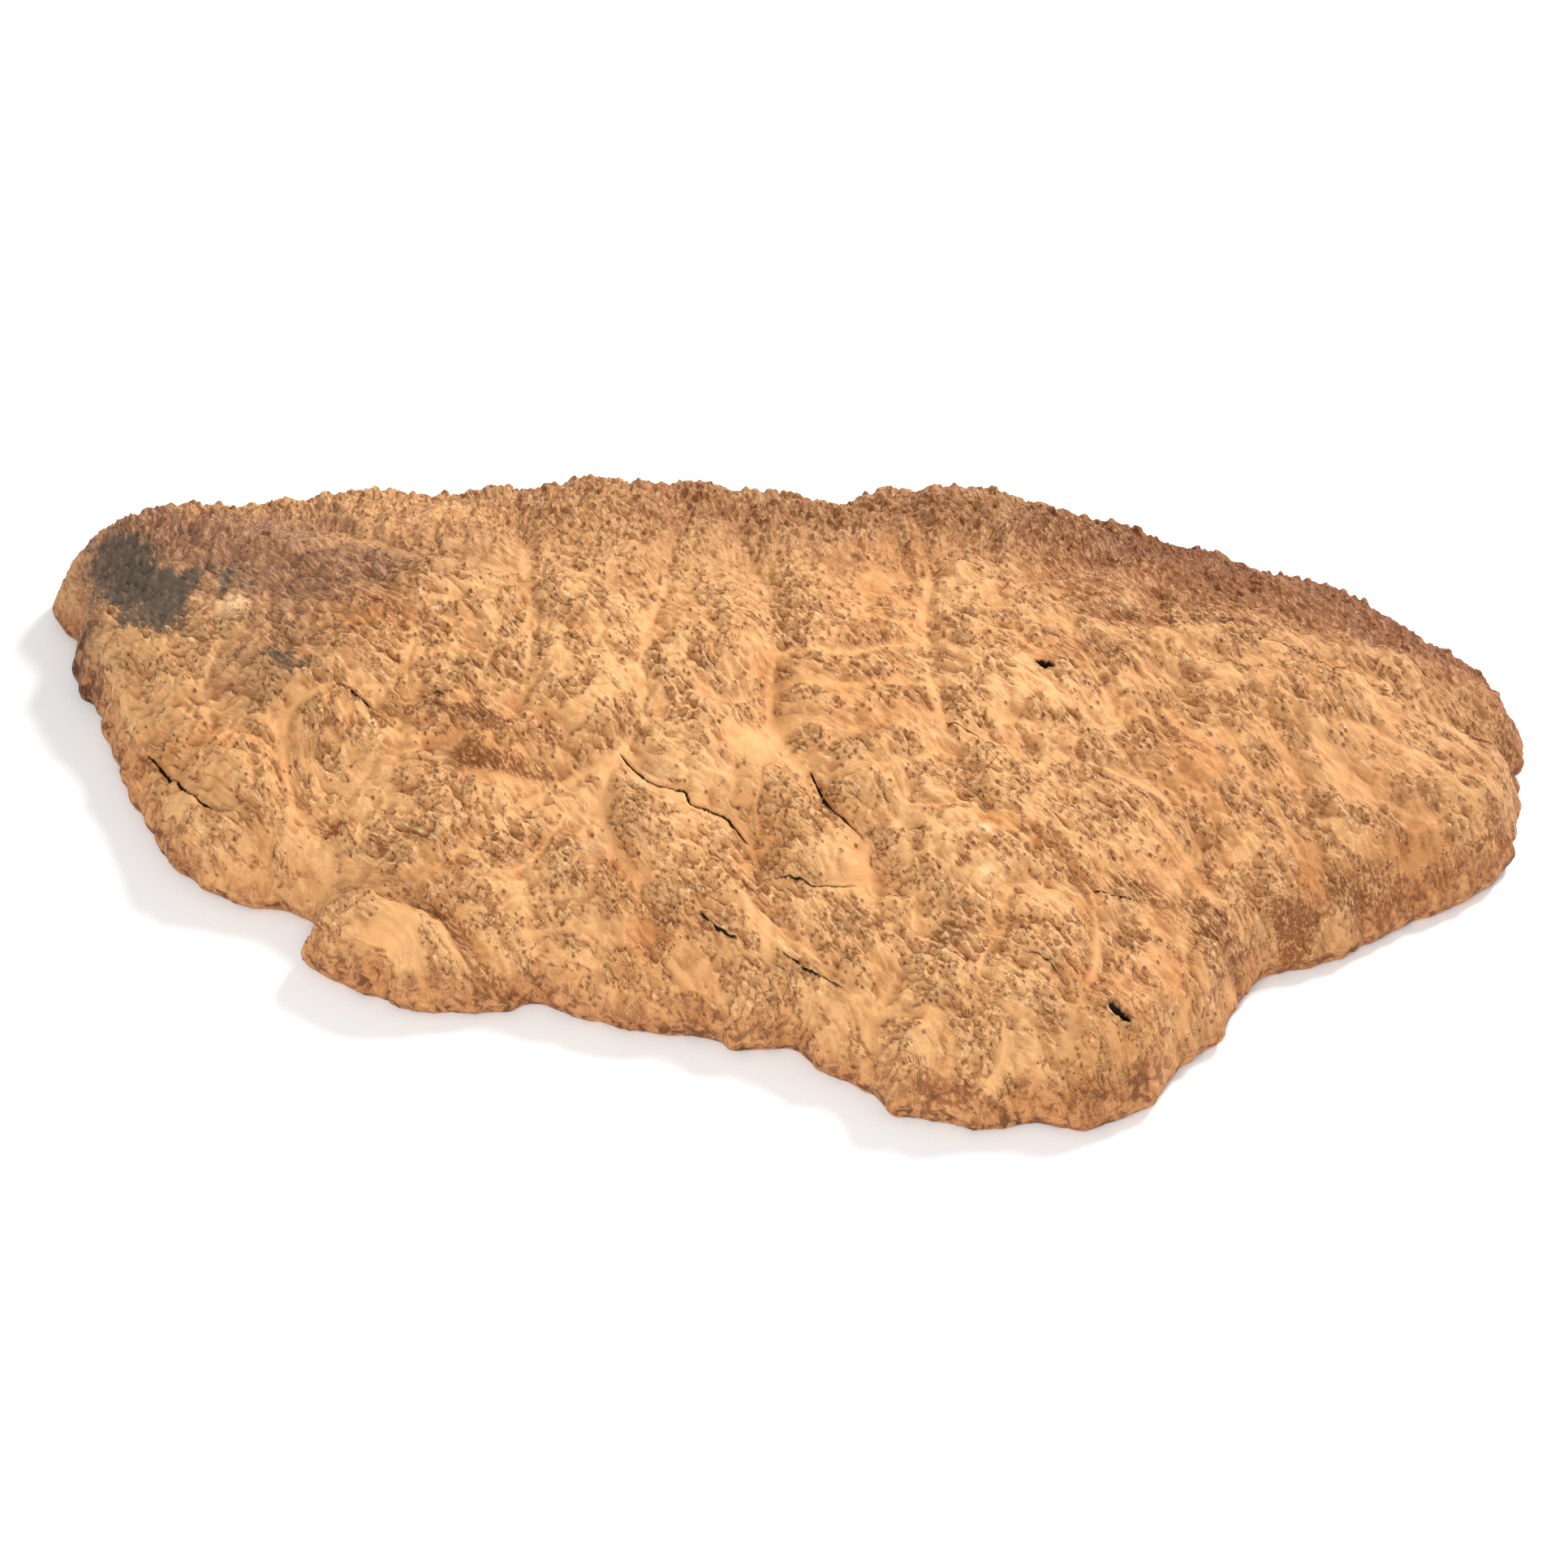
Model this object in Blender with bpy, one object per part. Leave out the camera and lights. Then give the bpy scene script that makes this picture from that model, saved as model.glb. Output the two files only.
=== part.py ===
"""Burl cap: the domed outside of a tree burl, bark off, its back sawn flat. One solid piece of wood.

Metres, +Z up. +X runs along the cap, +Y to its back. The sawn face lies on z = 0 and the origin is under
the middle of the outline. The form is a height over the plan: a live edge that rises from the sawn face, a
crown, swells and valleys, and on them the cones that surround the burl's eyes. The cones stand larger and
wider apart than on the real wood, and the three widest cracks, the knot holes and the jagged edge are cut.
"""
import math
import random

import bmesh
import bpy
import numpy as np
from mathutils import geometry

MM = 0.001

# Driving dimensions, in metres
EDGE_HEIGHT = 0.034      # live edge, from the sawn face up to where the crown starts
EDGE_RUN = 0.022         # plan width of the live edge
EDGE_ROUND = 2.2         # how full the live edge is: 1 is a straight slope
CROWN_HEIGHT = 0.084     # rise of the crown above the live edge
CROWN_RUN = 0.250        # plan distance from the outline to the full height of the crown
CROWN_ROUND = 1.9        # how full the crown is
RELIEF_RUN = 0.030       # swells, lobes and valleys fade out over this distance from the outline
VALLEY_SHARE = 0.80      # how deep the valleys are cut, as a share of the depths in their list
BACK_FADE = (0.15, 0.25)  # the valleys fade out between these two distances back from the middle
LIP_HEIGHT = 0.011       # the widest line of the edge above the sawn face
LIP_WAVE = 0.0035        # that line goes up and down by this much
UNDERCUT = 0.006         # how far inside that line the sawn face ends
EDGE_STEP = 0.0112       # spacing of the points along the edge
EDGE_JAG = 0.0028        # the points go in and out by this much
GRID_PITCH = 0.0094      # spacing of the surface points; every third one is the tip of a cone
GRID_JITTER = 0.30       # random shift of a point, in grid pitches
GRID_REACH = (0.50, 0.30)  # half the area that the grid covers, in x and y
EDGE_CLEARANCE = 0.0052  # no surface point lies nearer to the edge than this
CONE_HEIGHT = 0.0050     # cones round the eyes, at the front
CONE_EXTRA = 0.0016      # the same at the back, on top of the above
HOLLOW_DEPTH = 0.0009    # random depth of the ground between the cones
LEAST_CONE = 0.45        # the lowest cone, as a share of the full height
CONE_SPREAD = 0.95       # the highest cone is this much of the full height taller
CRACK_DEPTH = 0.012
CRACK_ABOVE = 0.006      # how far a crack's cutter stands above the wood
CRACK_END = 0.25         # width and depth of a crack at its ends, as a share of the full ones
SEED = 11

# The outline in plan, in millimetres, from the left end along the front, the right end and the back
OUTLINE = [
    (-454, 182), (-447, 168), (-434, 152), (-437, 128), (-427, 101), (-413, 76), (-393, 22), (-374, -18),
    (-357, -54), (-332, -80), (-308, -92), (-286, -97), (-271, -103), (-263, -118), (-268, -138),
    (-258, -152), (-236, -166), (-207, -181), (-162, -183), (-137, -176), (-115, -185), (-60, -203),
    (-38, -201), (-22, -214), (10, -214), (30, -234), (50, -243), (66, -265), (90, -270), (120, -279),
    (142, -271), (172, -278), (195, -268), (216, -254), (222, -235), (237, -221), (256, -201),
    (264, -177), (284, -152), (313, -143), (352, -119), (411, -83), (427, -67), (440, -36), (448, 2),
    (443, 17), (454, 38), (448, 64), (431, 93), (397, 138), (378, 149), (349, 173), (311, 191),
    (281, 213), (241, 229), (202, 252), (160, 266), (118, 275), (77, 279), (57, 270), (35, 261),
    (3, 267), (-28, 278), (-90, 279), (-131, 281), (-151, 270), (-173, 276), (-215, 271), (-298, 260),
    (-380, 253), (-421, 238), (-449, 206),
]

# Smooth valleys between the lobes: points in plan, width and depth, all in millimetres
VALLEYS = [
    ([(-66, 262), (-64, 235), (-60, 180), (-64, 113), (-65, 78), (-72, 50), (-76, 14), (-77, -18), (-81, -40),
      (-87, -58)], 14, 5),
    ([(-28, 272), (-25, 230), (-22, 181), (-17, 118), (-6, 84), (-2, 40), (-1, -8), (-2, -33), (6, -57),
      (17, -78), (27, -97), (40, -112), (52, -124), (61, -140)], 14, 6),
    ([(-87, -58), (-97, -75), (-98, -95), (-91, -120), (-77, -137), (-70, -150), (-67, -166), (-61, -182),
      (-49, -190), (-37, -194)], 12, 4),
    ([(-87, -58), (-71, -81), (-47, -95), (-26, -101), (-14, -116), (-6, -140), (-3, -168), (-3, -190),
      (4, -203), (10, -211)], 15, 5),
    ([(-3, -144), (22, -149), (54, -149), (61, -140)], 12, 3.5),
    ([(61, -140), (56, -161), (65, -179), (69, -193), (66, -211), (54, -225), (51, -237), (52, -243)], 15, 6),
    ([(88, 268), (86, 240), (88, 162), (94, 103), (89, 44), (91, -8), (99, -57), (110, -89), (127, -122),
      (149, -141), (163, -153), (178, -163), (181, -185), (178, -210), (169, -235), (163, -247), (164, -260)],
     13, 5),
    ([(69, -193), (80, -194), (86, -178), (75, -160), (61, -140)], 10, 3),
    ([(149, -162), (129, -171), (128, -191), (117, -205), (112, -225), (105, -240), (88, -236), (54, -225)],
     12, 5),
    ([(112, -225), (122, -239), (128, -256), (121, -267), (112, -272)], 11, 5),
    ([(286, -13), (300, -42), (305, -73), (310, -97), (311, -119), (300, -137), (282, -150), (276, -156)],
     12, 8),
    ([(246, 17), (290, 18), (337, 37), (360, 27), (384, 15), (403, 9), (431, 16), (446, 18)], 13, 6),
    ([(215, -75), (234, -98), (244, -118), (235, -153), (230, -181), (233, -204), (226, -221)], 11, 3.5),
    ([(-385, 65), (-375, 32), (-363, 1), (-345, -29), (-323, -53)], 12, 8),
    ([(-264, -106), (-233, -122), (-204, -139), (-185, -149), (-171, -167), (-158, -175), (-139, -178)], 13, 11),
    ([(-165, 268), (-160, 240), (-161, 184), (-149, 108), (-145, 46), (-144, 3), (-147, -24)], 12, 4),
    ([(-97, -65), (-118, -71), (-145, -88), (-181, -118), (-209, -131), (-238, -117)], 14, 4),
    ([(40, 262), (42, 240), (69, 198), (73, 138), (80, 94), (89, 44)], 12, 6),
    ([(-257, 10), (-273, 4), (-287, -4), (-285, -35), (-279, -58), (-262, -80)], 12, 3),
    ([(-230, -10), (-204, -34), (-179, -60), (-146, -72), (-118, -71)], 14, 3),
    ([(165, 262), (152, 200), (120, 150), (95, 110)], 14, 5),
    ([(-300, 262), (-292, 205), (-262, 160), (-215, 120), (-150, 96)], 14, 5),
    ([(250, 226), (232, 170), (190, 120), (150, 80)], 14, 5),
]

# Lobes that stand up from the crown: centre, two radii and rise, all in millimetres
LOBES = [
    (-208, -166, 44, 24, 12), (-395, 150, 60, 70, 7), (-300, 225, 75, 32, 8), (-120, 170, 80, 60, 5),
    (110, 215, 70, 45, 8), (130, -235, 75, 35, 9), (20, -180, 45, 35, 4), (240, -120, 60, 60, 4),
    (378, -50, 55, 48, 7), (-330, -40, 50, 40, 4), (290, 120, 70, 40, 5), (-80, -120, 50, 40, 3),
    (-150, 238, 60, 28, 7), (-75, 240, 45, 26, 8),
]

# Places where the wood is bare of eyes: centre and radius, in millimetres
BARE = [
    (-400, 42, 30), (-384, 0, 26), (-364, -40, 22), (-246, -112, 24), (-205, -152, 24), (344, -38, 30),
    (54, -140, 14), (111, -165, 20), (60, 78, 22), (-11, -58, 16), (-120, 224, 18),
]

# Cracks along the grain: points in plan and width at the surface, in millimetres
CRACKS = [
    ([(-88, -60), (-80, -70), (-71, -82), (-62, -87), (-50, -90), (-47, -96), (-33, -98), (-26, -101),
      (-22, -107), (-14, -116)], 2.8),
    ([(22, -79), (27, -91), (34, -103), (42, -111), (51, -121)], 2.4),
    ([(384, 9), (397, 0), (417, 4), (431, 12)], 2.8),
    ([(-257, 10), (-241, -4), (-230, -10)], 2.4),
]

# Knot holes: centre, length across the view, width, both in millimetres, and the turn in degrees
KNOTS = [(158, -2, 11, 8, -20), (190, -241, 13, 6, -25)]
KNOT_DEPTH = 0.016

WOOD_COLOUR = (0.66, 0.36, 0.145, 1.0)
WOOD_ROUGHNESS = 0.62


def smooth_line(points, closed, step):
    """Points about `step` apart on a curve that passes through the given points, as an (n, 2) array."""
    knots = np.array(points, float)
    count = len(knots)
    dense = []
    spans = count if closed else count - 1
    for k in range(spans):
        if closed:
            a, b, c, d = (knots[(k + j) % count] for j in (-1, 0, 1, 2))
        else:
            a, b, c, d = (knots[min(max(k + j, 0), count - 1)] for j in (-1, 0, 1, 2))
        for t in np.linspace(0, 1, 9)[:-1]:
            dense.append(0.5 * (2 * b + (c - a) * t + (2 * a - 5 * b + 4 * c - d) * t ** 2
                                + (3 * b - a - 3 * c + d) * t ** 3))
    dense.append(knots[0] if closed else knots[-1])
    dense = np.array(dense)
    run = np.concatenate([[0], np.cumsum(np.hypot(*np.diff(dense, axis=0).T))])
    stops = np.linspace(0, run[-1], max(2, round(run[-1] / step)) + 1)
    if closed:
        stops = stops[:-1]
    return np.column_stack([np.interp(stops, run, dense[:, axis]) for axis in (0, 1)])


def distance_to_line(at, line):
    """Distance from each point in plan to a chain of points."""
    best = np.full(len(at), np.inf)
    for a, b in zip(line[:-1], line[1:]):
        run = b - a
        t = np.clip((at - a) @ run / (run @ run), 0, 1)
        best = np.minimum(best, np.hypot(*(at - a - t[:, None] * run).T))
    return best


def is_inside(at, ring):
    """Whether each point in plan lies inside a closed ring."""
    inside = np.zeros(len(at), bool)
    for a, b in zip(ring, np.roll(ring, -1, axis=0)):
        spans = (a[1] > at[:, 1]) != (b[1] > at[:, 1])
        rise = b[1] - a[1] if b[1] != a[1] else 1.0
        inside ^= spans & (at[:, 0] < a[0] + (b[0] - a[0]) * (at[:, 1] - a[1]) / rise)
    return inside


EDGE_LINE = smooth_line(np.array(OUTLINE) * MM, True, EDGE_STEP)
VALLEY_LINES = [(smooth_line(np.array(p) * MM, False, 0.008), w * MM, d * MM) for p, w, d in VALLEYS]


def swell(x, y):
    """Long low waves over the whole crown."""
    return (0.0022 * np.sin(47 * x + 1.7 * np.sin(31 * y + 0.6))
            + 0.0020 * np.sin(58 * y - 19 * x + 1.4 * np.sin(43 * x))
            + 0.0012 * np.sin(96 * x + 71 * y + 2.0))


def ground(at):
    """Height of the smooth wood, without the cones, over each point in plan."""
    x, y = at.T
    to_edge = distance_to_line(at, np.vstack([EDGE_LINE, EDGE_LINE[:1]]))
    edge = 1 - (1 - np.clip(to_edge / EDGE_RUN, 0, 1)) ** EDGE_ROUND
    crown = 1 - (1 - np.clip(to_edge / CROWN_RUN, 0, 1)) ** CROWN_ROUND
    height = LIP_HEIGHT + (EDGE_HEIGHT - LIP_HEIGHT) * edge + CROWN_HEIGHT * crown
    relief = swell(x, y)
    for cx, cy, rx, ry, rise in LOBES:
        reach = ((x / MM - cx) / rx) ** 2 + ((y / MM - cy) / ry) ** 2
        relief += rise * MM * np.exp(-reach)
    valley = np.zeros(len(at))
    for line, width, depth in VALLEY_LINES:
        valley = np.maximum(valley, depth * np.exp(-(distance_to_line(at, line) / width) ** 2))
    valley *= VALLEY_SHARE * np.interp(y, BACK_FADE, [1.0, 0.05])
    return height + (relief - valley) * np.sqrt(np.clip(to_edge / RELIEF_RUN, 0, 1))


def cone_share(at):
    """How much of its full height a cone has here: none in the valleys and the bare places."""
    share = np.ones(len(at))
    for line, width, _depth in VALLEY_LINES:
        share *= 1 - np.exp(-(distance_to_line(at, line) / (0.62 * width)) ** 2)
    for cx, cy, radius in BARE:
        reach = np.hypot(at[:, 0] / MM - cx, at[:, 1] / MM - cy) / radius
        share *= 1 - np.exp(-reach ** 3)
    return share


def surface_points(edge, rng):
    """Plan points of the surface inside the edge, their heights, and which of them are tips of cones."""
    row_gap = GRID_PITCH * math.sqrt(3) / 2
    rows = int(GRID_REACH[1] / row_gap)
    columns = int(GRID_REACH[0] / GRID_PITCH) + rows // 2
    spots = []
    is_tip = []
    for row in range(-rows, rows + 1):
        for column in range(-columns, columns + 1):
            shift = (rng.uniform(-1, 1) * GRID_JITTER, rng.uniform(-1, 1) * GRID_JITTER)
            spots.append(((column + row / 2 + shift[0]) * GRID_PITCH, row * row_gap + shift[1] * GRID_PITCH))
            is_tip.append((column - row) % 3 == 0)
    spots = np.array(spots)
    is_tip = np.array(is_tip)
    ring = np.vstack([edge, edge[:1]])
    keep = is_inside(spots, edge)
    keep[keep] = distance_to_line(spots[keep], ring) > EDGE_CLEARANCE
    spots, is_tip = spots[keep], is_tip[keep]
    share = cone_share(spots)
    luck = np.array([rng.uniform(0, 1) for _ in spots])
    towards_back = np.clip((spots[:, 1] - 0.02) / 0.20, 0, 1)
    towards_left = np.clip((-0.15 - spots[:, 0]) / 0.25, 0, 1)
    full = CONE_HEIGHT + CONE_EXTRA * np.maximum(towards_back, 0.5 * towards_left)
    cone = np.where(is_tip, full * (LEAST_CONE + CONE_SPREAD * luck), -HOLLOW_DEPTH * luck)
    return spots, ground(spots) + cone * share


def build_cap(collection):
    """The cap: surface points joined by a constrained triangulation, closed by the edge and the sawn face."""
    rng = random.Random(SEED)
    along = np.roll(EDGE_LINE, -1, axis=0) - np.roll(EDGE_LINE, 1, axis=0)
    outward = np.column_stack([along[:, 1], -along[:, 0]]) / np.hypot(*along.T)[:, None]
    jag = np.array([(-1) ** k * rng.uniform(0.4, 1.0) * EDGE_JAG for k in range(len(EDGE_LINE))])
    widest = EDGE_LINE + outward * jag[:, None]
    sawn = EDGE_LINE - outward * UNDERCUT
    spots, heights = surface_points(widest, rng)
    lip = LIP_HEIGHT + np.array([rng.uniform(-LIP_WAVE, LIP_WAVE) for _ in widest])

    plan = [tuple(p) for p in np.vstack([widest, spots])]
    count = len(widest)
    loop = [(k, (k + 1) % count) for k in range(count)]
    placed, _edges, triangles, *_rest = geometry.delaunay_2d_cdt(plan, loop, [], 1, 1e-7)
    levels = np.concatenate([lip, heights])
    mesh = bmesh.new()
    verts = [mesh.verts.new((p[0], p[1], z)) for p, z in zip(placed, levels)]
    for triangle in triangles:
        mesh.faces.new([verts[k] for k in triangle])

    feet = [mesh.verts.new((x, y, 0.0)) for x, y in sawn]
    for k, after in loop:
        mesh.faces.new((verts[k], feet[k], feet[after]))
        mesh.faces.new((verts[k], feet[after], verts[after]))
    sawn_loop = [mesh.edges.get((feet[k], feet[after])) for k, after in loop]
    bmesh.ops.triangle_fill(mesh, edges=sawn_loop, use_dissolve=False)
    bmesh.ops.recalc_face_normals(mesh, faces=mesh.faces)

    corners = np.array([v.co[:2] for v in mesh.verts])
    middle = (corners.min(axis=0) + corners.max(axis=0)) / 2
    bmesh.ops.translate(mesh, verts=mesh.verts, vec=(-middle[0], -middle[1], 0.0))
    return finish_object(mesh, "burl_cap", collection), middle


def finish_object(mesh, name, collection):
    """Turn a bmesh into a named object of the collection."""
    data = bpy.data.meshes.new(name)
    mesh.to_mesh(data)
    mesh.free()
    thing = bpy.data.objects.new(name, data)
    collection.objects.link(thing)
    return thing


def as_cutter(thing):
    thing.hide_render = True
    thing.display_type = "WIRE"


def crack_cutter(points, width, middle, name, collection):
    """A blade with a V section that follows a crack, open at the top and drawn to a point at both ends."""
    line = smooth_line(np.array(points) * MM, False, 0.009)
    tops = ground(line)
    line = line - middle
    along = np.gradient(line, axis=0)
    side = np.column_stack([-along[:, 1], along[:, 0]]) / np.hypot(*along.T)[:, None]
    mesh = bmesh.new()
    sections = []
    for k, (spot, across, top) in enumerate(zip(line, side, tops)):
        share = CRACK_END + (1 - CRACK_END) * math.sqrt(math.sin(math.pi * k / (len(line) - 1)))
        deep = CRACK_DEPTH * share
        half = 0.5 * width * MM * share * (deep + CRACK_ABOVE) / deep
        left = spot + across * half
        right = spot - across * half
        sections.append([mesh.verts.new((*left, top + CRACK_ABOVE)), mesh.verts.new((*right, top + CRACK_ABOVE)),
                         mesh.verts.new((*spot, top - deep))])
    for near, far in zip(sections[:-1], sections[1:]):
        for k in range(3):
            mesh.faces.new((near[k], near[(k + 1) % 3], far[(k + 1) % 3], far[k]))
    mesh.faces.new(sections[0][::-1])
    mesh.faces.new(sections[-1])
    bmesh.ops.recalc_face_normals(mesh, faces=mesh.faces)
    as_cutter(finish_object(mesh, name, collection))


def knot_cutter(knot, middle, name, collection):
    """A narrow bowl for a knot hole: a cone set point down in the wood."""
    cx, cy, long_way, short_way, turn = knot
    spot = np.array([[cx, cy]]) * MM
    mesh = bmesh.new()
    bmesh.ops.create_cone(mesh, cap_ends=True, segments=9, radius1=0.25, radius2=1.0, depth=1.0)
    bmesh.ops.scale(mesh, verts=mesh.verts, vec=(0.5 * long_way * MM, 0.5 * short_way * MM, 1.5 * KNOT_DEPTH))
    thing = finish_object(mesh, name, collection)
    thing.location = (spot[0, 0] - middle[0], spot[0, 1] - middle[1], ground(spot)[0] - 0.25 * KNOT_DEPTH)
    thing.rotation_euler = (0.0, 0.0, math.radians(turn))
    as_cutter(thing)


def wood_material():
    material = bpy.data.materials.new("burl_wood")
    material.use_nodes = True
    shader = material.node_tree.nodes["Principled BSDF"]
    shader.inputs["Base Color"].default_value = WOOD_COLOUR
    shader.inputs["Roughness"].default_value = WOOD_ROUGHNESS
    shader.inputs["Metallic"].default_value = 0.0
    return material


def main():
    for thing in list(bpy.data.objects):
        bpy.data.objects.remove(thing, do_unlink=True)
    parts = bpy.data.collections.new("burl_cap_parts")
    cutters = bpy.data.collections.new("cutters")
    for collection in (parts, cutters):
        bpy.context.scene.collection.children.link(collection)

    cap, middle = build_cap(parts)
    cap.data.materials.append(wood_material())
    for k, (points, width) in enumerate(CRACKS):
        crack_cutter(points, width, middle, f"crack_{k + 1}", cutters)
    for k, knot in enumerate(KNOTS):
        knot_cutter(knot, middle, f"knot_{k + 1}", cutters)
    cut = cap.modifiers.new("cracks and knots", "BOOLEAN")
    cut.operation = "DIFFERENCE"
    cut.operand_type = "COLLECTION"
    cut.collection = cutters
    cut.solver = "EXACT"
    print("burl cap:", len(cap.data.polygons), "faces before cutting, shifted by", middle)


main()
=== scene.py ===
# %% [markdown]
# # A burl cap
# A burl is a swelling on a trunk, full of buds that never grew out. Its cap is the domed outside, sawn off
# flat. With the bark gone, the wood shows fields of small cones with a dark pit in each, which are the eyes,
# smooth valleys between the lobes, drying cracks and a ragged edge. This lesson dresses the plain solid of
# such a cap. The solid fixes the size and the place, so it is loaded first.

# %% Load the solid
import math
import random

import bpy
import numpy as np
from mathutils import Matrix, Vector, geometry


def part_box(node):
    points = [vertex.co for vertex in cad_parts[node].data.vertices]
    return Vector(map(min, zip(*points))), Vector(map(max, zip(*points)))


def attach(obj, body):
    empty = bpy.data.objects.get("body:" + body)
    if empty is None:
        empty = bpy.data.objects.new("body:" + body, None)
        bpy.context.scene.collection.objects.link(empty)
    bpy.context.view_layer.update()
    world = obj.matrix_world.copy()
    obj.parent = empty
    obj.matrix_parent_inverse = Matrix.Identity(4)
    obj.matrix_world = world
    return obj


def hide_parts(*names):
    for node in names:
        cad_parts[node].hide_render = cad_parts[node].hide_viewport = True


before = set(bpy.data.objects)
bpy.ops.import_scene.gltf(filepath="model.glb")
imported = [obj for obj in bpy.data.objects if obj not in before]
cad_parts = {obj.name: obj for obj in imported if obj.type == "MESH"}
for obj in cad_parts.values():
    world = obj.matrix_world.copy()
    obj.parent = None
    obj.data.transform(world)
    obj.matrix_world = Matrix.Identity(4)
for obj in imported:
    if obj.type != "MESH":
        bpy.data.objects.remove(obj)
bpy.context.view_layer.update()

MM = 0.001
low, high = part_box("burl_cap")
print("the solid reaches from", [round(v, 4) for v in low], "to", [round(v, 4) for v in high])

# %% [markdown]
# ## The form
# The cap is a height over its plan. The numbers below are the ones that the solid was made from: the
# outline, the live edge, the crown, the valleys, the lobes and the bare places. Rebuilding the form from
# them, instead of subdividing the solid, gives a surface as fine as we like that stays on the solid.

# %% The numbers of the form
EDGE_HEIGHT = 0.034
EDGE_RUN = 0.022
EDGE_ROUND = 2.2
CROWN_HEIGHT = 0.084
CROWN_RUN = 0.250
CROWN_ROUND = 1.9
RELIEF_RUN = 0.030
LIP_HEIGHT = 0.011
UNDERCUT = 0.006
EDGE_STEP = 0.0112
EDGE_JAG = 0.0028
VALLEY_SHARE = 0.80
BACK_FADE = (0.15, 0.25)

# The outline in plan, in millimetres, from the left end along the front, the right end and the back
OUTLINE = [
    (-454, 182), (-447, 168), (-434, 152), (-437, 128), (-427, 101), (-413, 76), (-393, 22), (-374, -18),
    (-357, -54), (-332, -80), (-308, -92), (-286, -97), (-271, -103), (-263, -118), (-268, -138),
    (-258, -152), (-236, -166), (-207, -181), (-162, -183), (-137, -176), (-115, -185), (-60, -203),
    (-38, -201), (-22, -214), (10, -214), (30, -234), (50, -243), (66, -265), (90, -270), (120, -279),
    (142, -271), (172, -278), (195, -268), (216, -254), (222, -235), (237, -221), (256, -201),
    (264, -177), (284, -152), (313, -143), (352, -119), (411, -83), (427, -67), (440, -36), (448, 2),
    (443, 17), (454, 38), (448, 64), (431, 93), (397, 138), (378, 149), (349, 173), (311, 191),
    (281, 213), (241, 229), (202, 252), (160, 266), (118, 275), (77, 279), (57, 270), (35, 261),
    (3, 267), (-28, 278), (-90, 279), (-131, 281), (-151, 270), (-173, 276), (-215, 271), (-298, 260),
    (-380, 253), (-421, 238), (-449, 206),
]

# Smooth valleys between the lobes: points in plan, width and depth, all in millimetres
VALLEYS = [
    ([(-66, 262), (-64, 235), (-60, 180), (-64, 113), (-65, 78), (-72, 50), (-76, 14), (-77, -18), (-81, -40),
      (-87, -58)], 14, 5),
    ([(-28, 272), (-25, 230), (-22, 181), (-17, 118), (-6, 84), (-2, 40), (-1, -8), (-2, -33), (6, -57),
      (17, -78), (27, -97), (40, -112), (52, -124), (61, -140)], 14, 6),
    ([(-87, -58), (-97, -75), (-98, -95), (-91, -120), (-77, -137), (-70, -150), (-67, -166), (-61, -182),
      (-49, -190), (-37, -194)], 12, 4),
    ([(-87, -58), (-71, -81), (-47, -95), (-26, -101), (-14, -116), (-6, -140), (-3, -168), (-3, -190),
      (4, -203), (10, -211)], 15, 5),
    ([(-3, -144), (22, -149), (54, -149), (61, -140)], 12, 3.5),
    ([(61, -140), (56, -161), (65, -179), (69, -193), (66, -211), (54, -225), (51, -237), (52, -243)], 15, 6),
    ([(88, 268), (86, 240), (88, 162), (94, 103), (89, 44), (91, -8), (99, -57), (110, -89), (127, -122),
      (149, -141), (163, -153), (178, -163), (181, -185), (178, -210), (169, -235), (163, -247), (164, -260)],
     13, 5),
    ([(69, -193), (80, -194), (86, -178), (75, -160), (61, -140)], 10, 3),
    ([(149, -162), (129, -171), (128, -191), (117, -205), (112, -225), (105, -240), (88, -236), (54, -225)],
     12, 5),
    ([(112, -225), (122, -239), (128, -256), (121, -267), (112, -272)], 11, 5),
    ([(286, -13), (300, -42), (305, -73), (310, -97), (311, -119), (300, -137), (282, -150), (276, -156)],
     12, 8),
    ([(246, 17), (290, 18), (337, 37), (360, 27), (384, 15), (403, 9), (431, 16), (446, 18)], 13, 6),
    ([(215, -75), (234, -98), (244, -118), (235, -153), (230, -181), (233, -204), (226, -221)], 11, 3.5),
    ([(-385, 65), (-375, 32), (-363, 1), (-345, -29), (-323, -53)], 12, 8),
    ([(-264, -106), (-233, -122), (-204, -139), (-185, -149), (-171, -167), (-158, -175), (-139, -178)],
     13, 11),
    ([(-165, 268), (-160, 240), (-161, 184), (-149, 108), (-145, 46), (-144, 3), (-147, -24)], 12, 4),
    ([(-97, -65), (-118, -71), (-145, -88), (-181, -118), (-209, -131), (-238, -117)], 14, 4),
    ([(40, 262), (42, 240), (69, 198), (73, 138), (80, 94), (89, 44)], 12, 6),
    ([(-257, 10), (-273, 4), (-287, -4), (-285, -35), (-279, -58), (-262, -80)], 12, 3),
    ([(-230, -10), (-204, -34), (-179, -60), (-146, -72), (-118, -71)], 14, 3),
    ([(165, 262), (152, 200), (120, 150), (95, 110)], 14, 5),
    ([(-300, 262), (-292, 205), (-262, 160), (-215, 120), (-150, 96)], 14, 5),
    ([(250, 226), (232, 170), (190, 120), (150, 80)], 14, 5),
]

# Lobes that stand up from the crown: centre, two radii and rise, all in millimetres
LOBES = [
    (-208, -166, 44, 24, 12), (-395, 150, 60, 70, 7), (-300, 225, 75, 32, 8), (-120, 170, 80, 60, 5),
    (110, 215, 70, 45, 8), (130, -235, 75, 35, 9), (20, -180, 45, 35, 4), (240, -120, 60, 60, 4),
    (378, -50, 55, 48, 7), (-330, -40, 50, 40, 4), (290, 120, 70, 40, 5), (-80, -120, 50, 40, 3),
    (-150, 238, 60, 28, 7), (-75, 240, 45, 26, 8),
]

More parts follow.
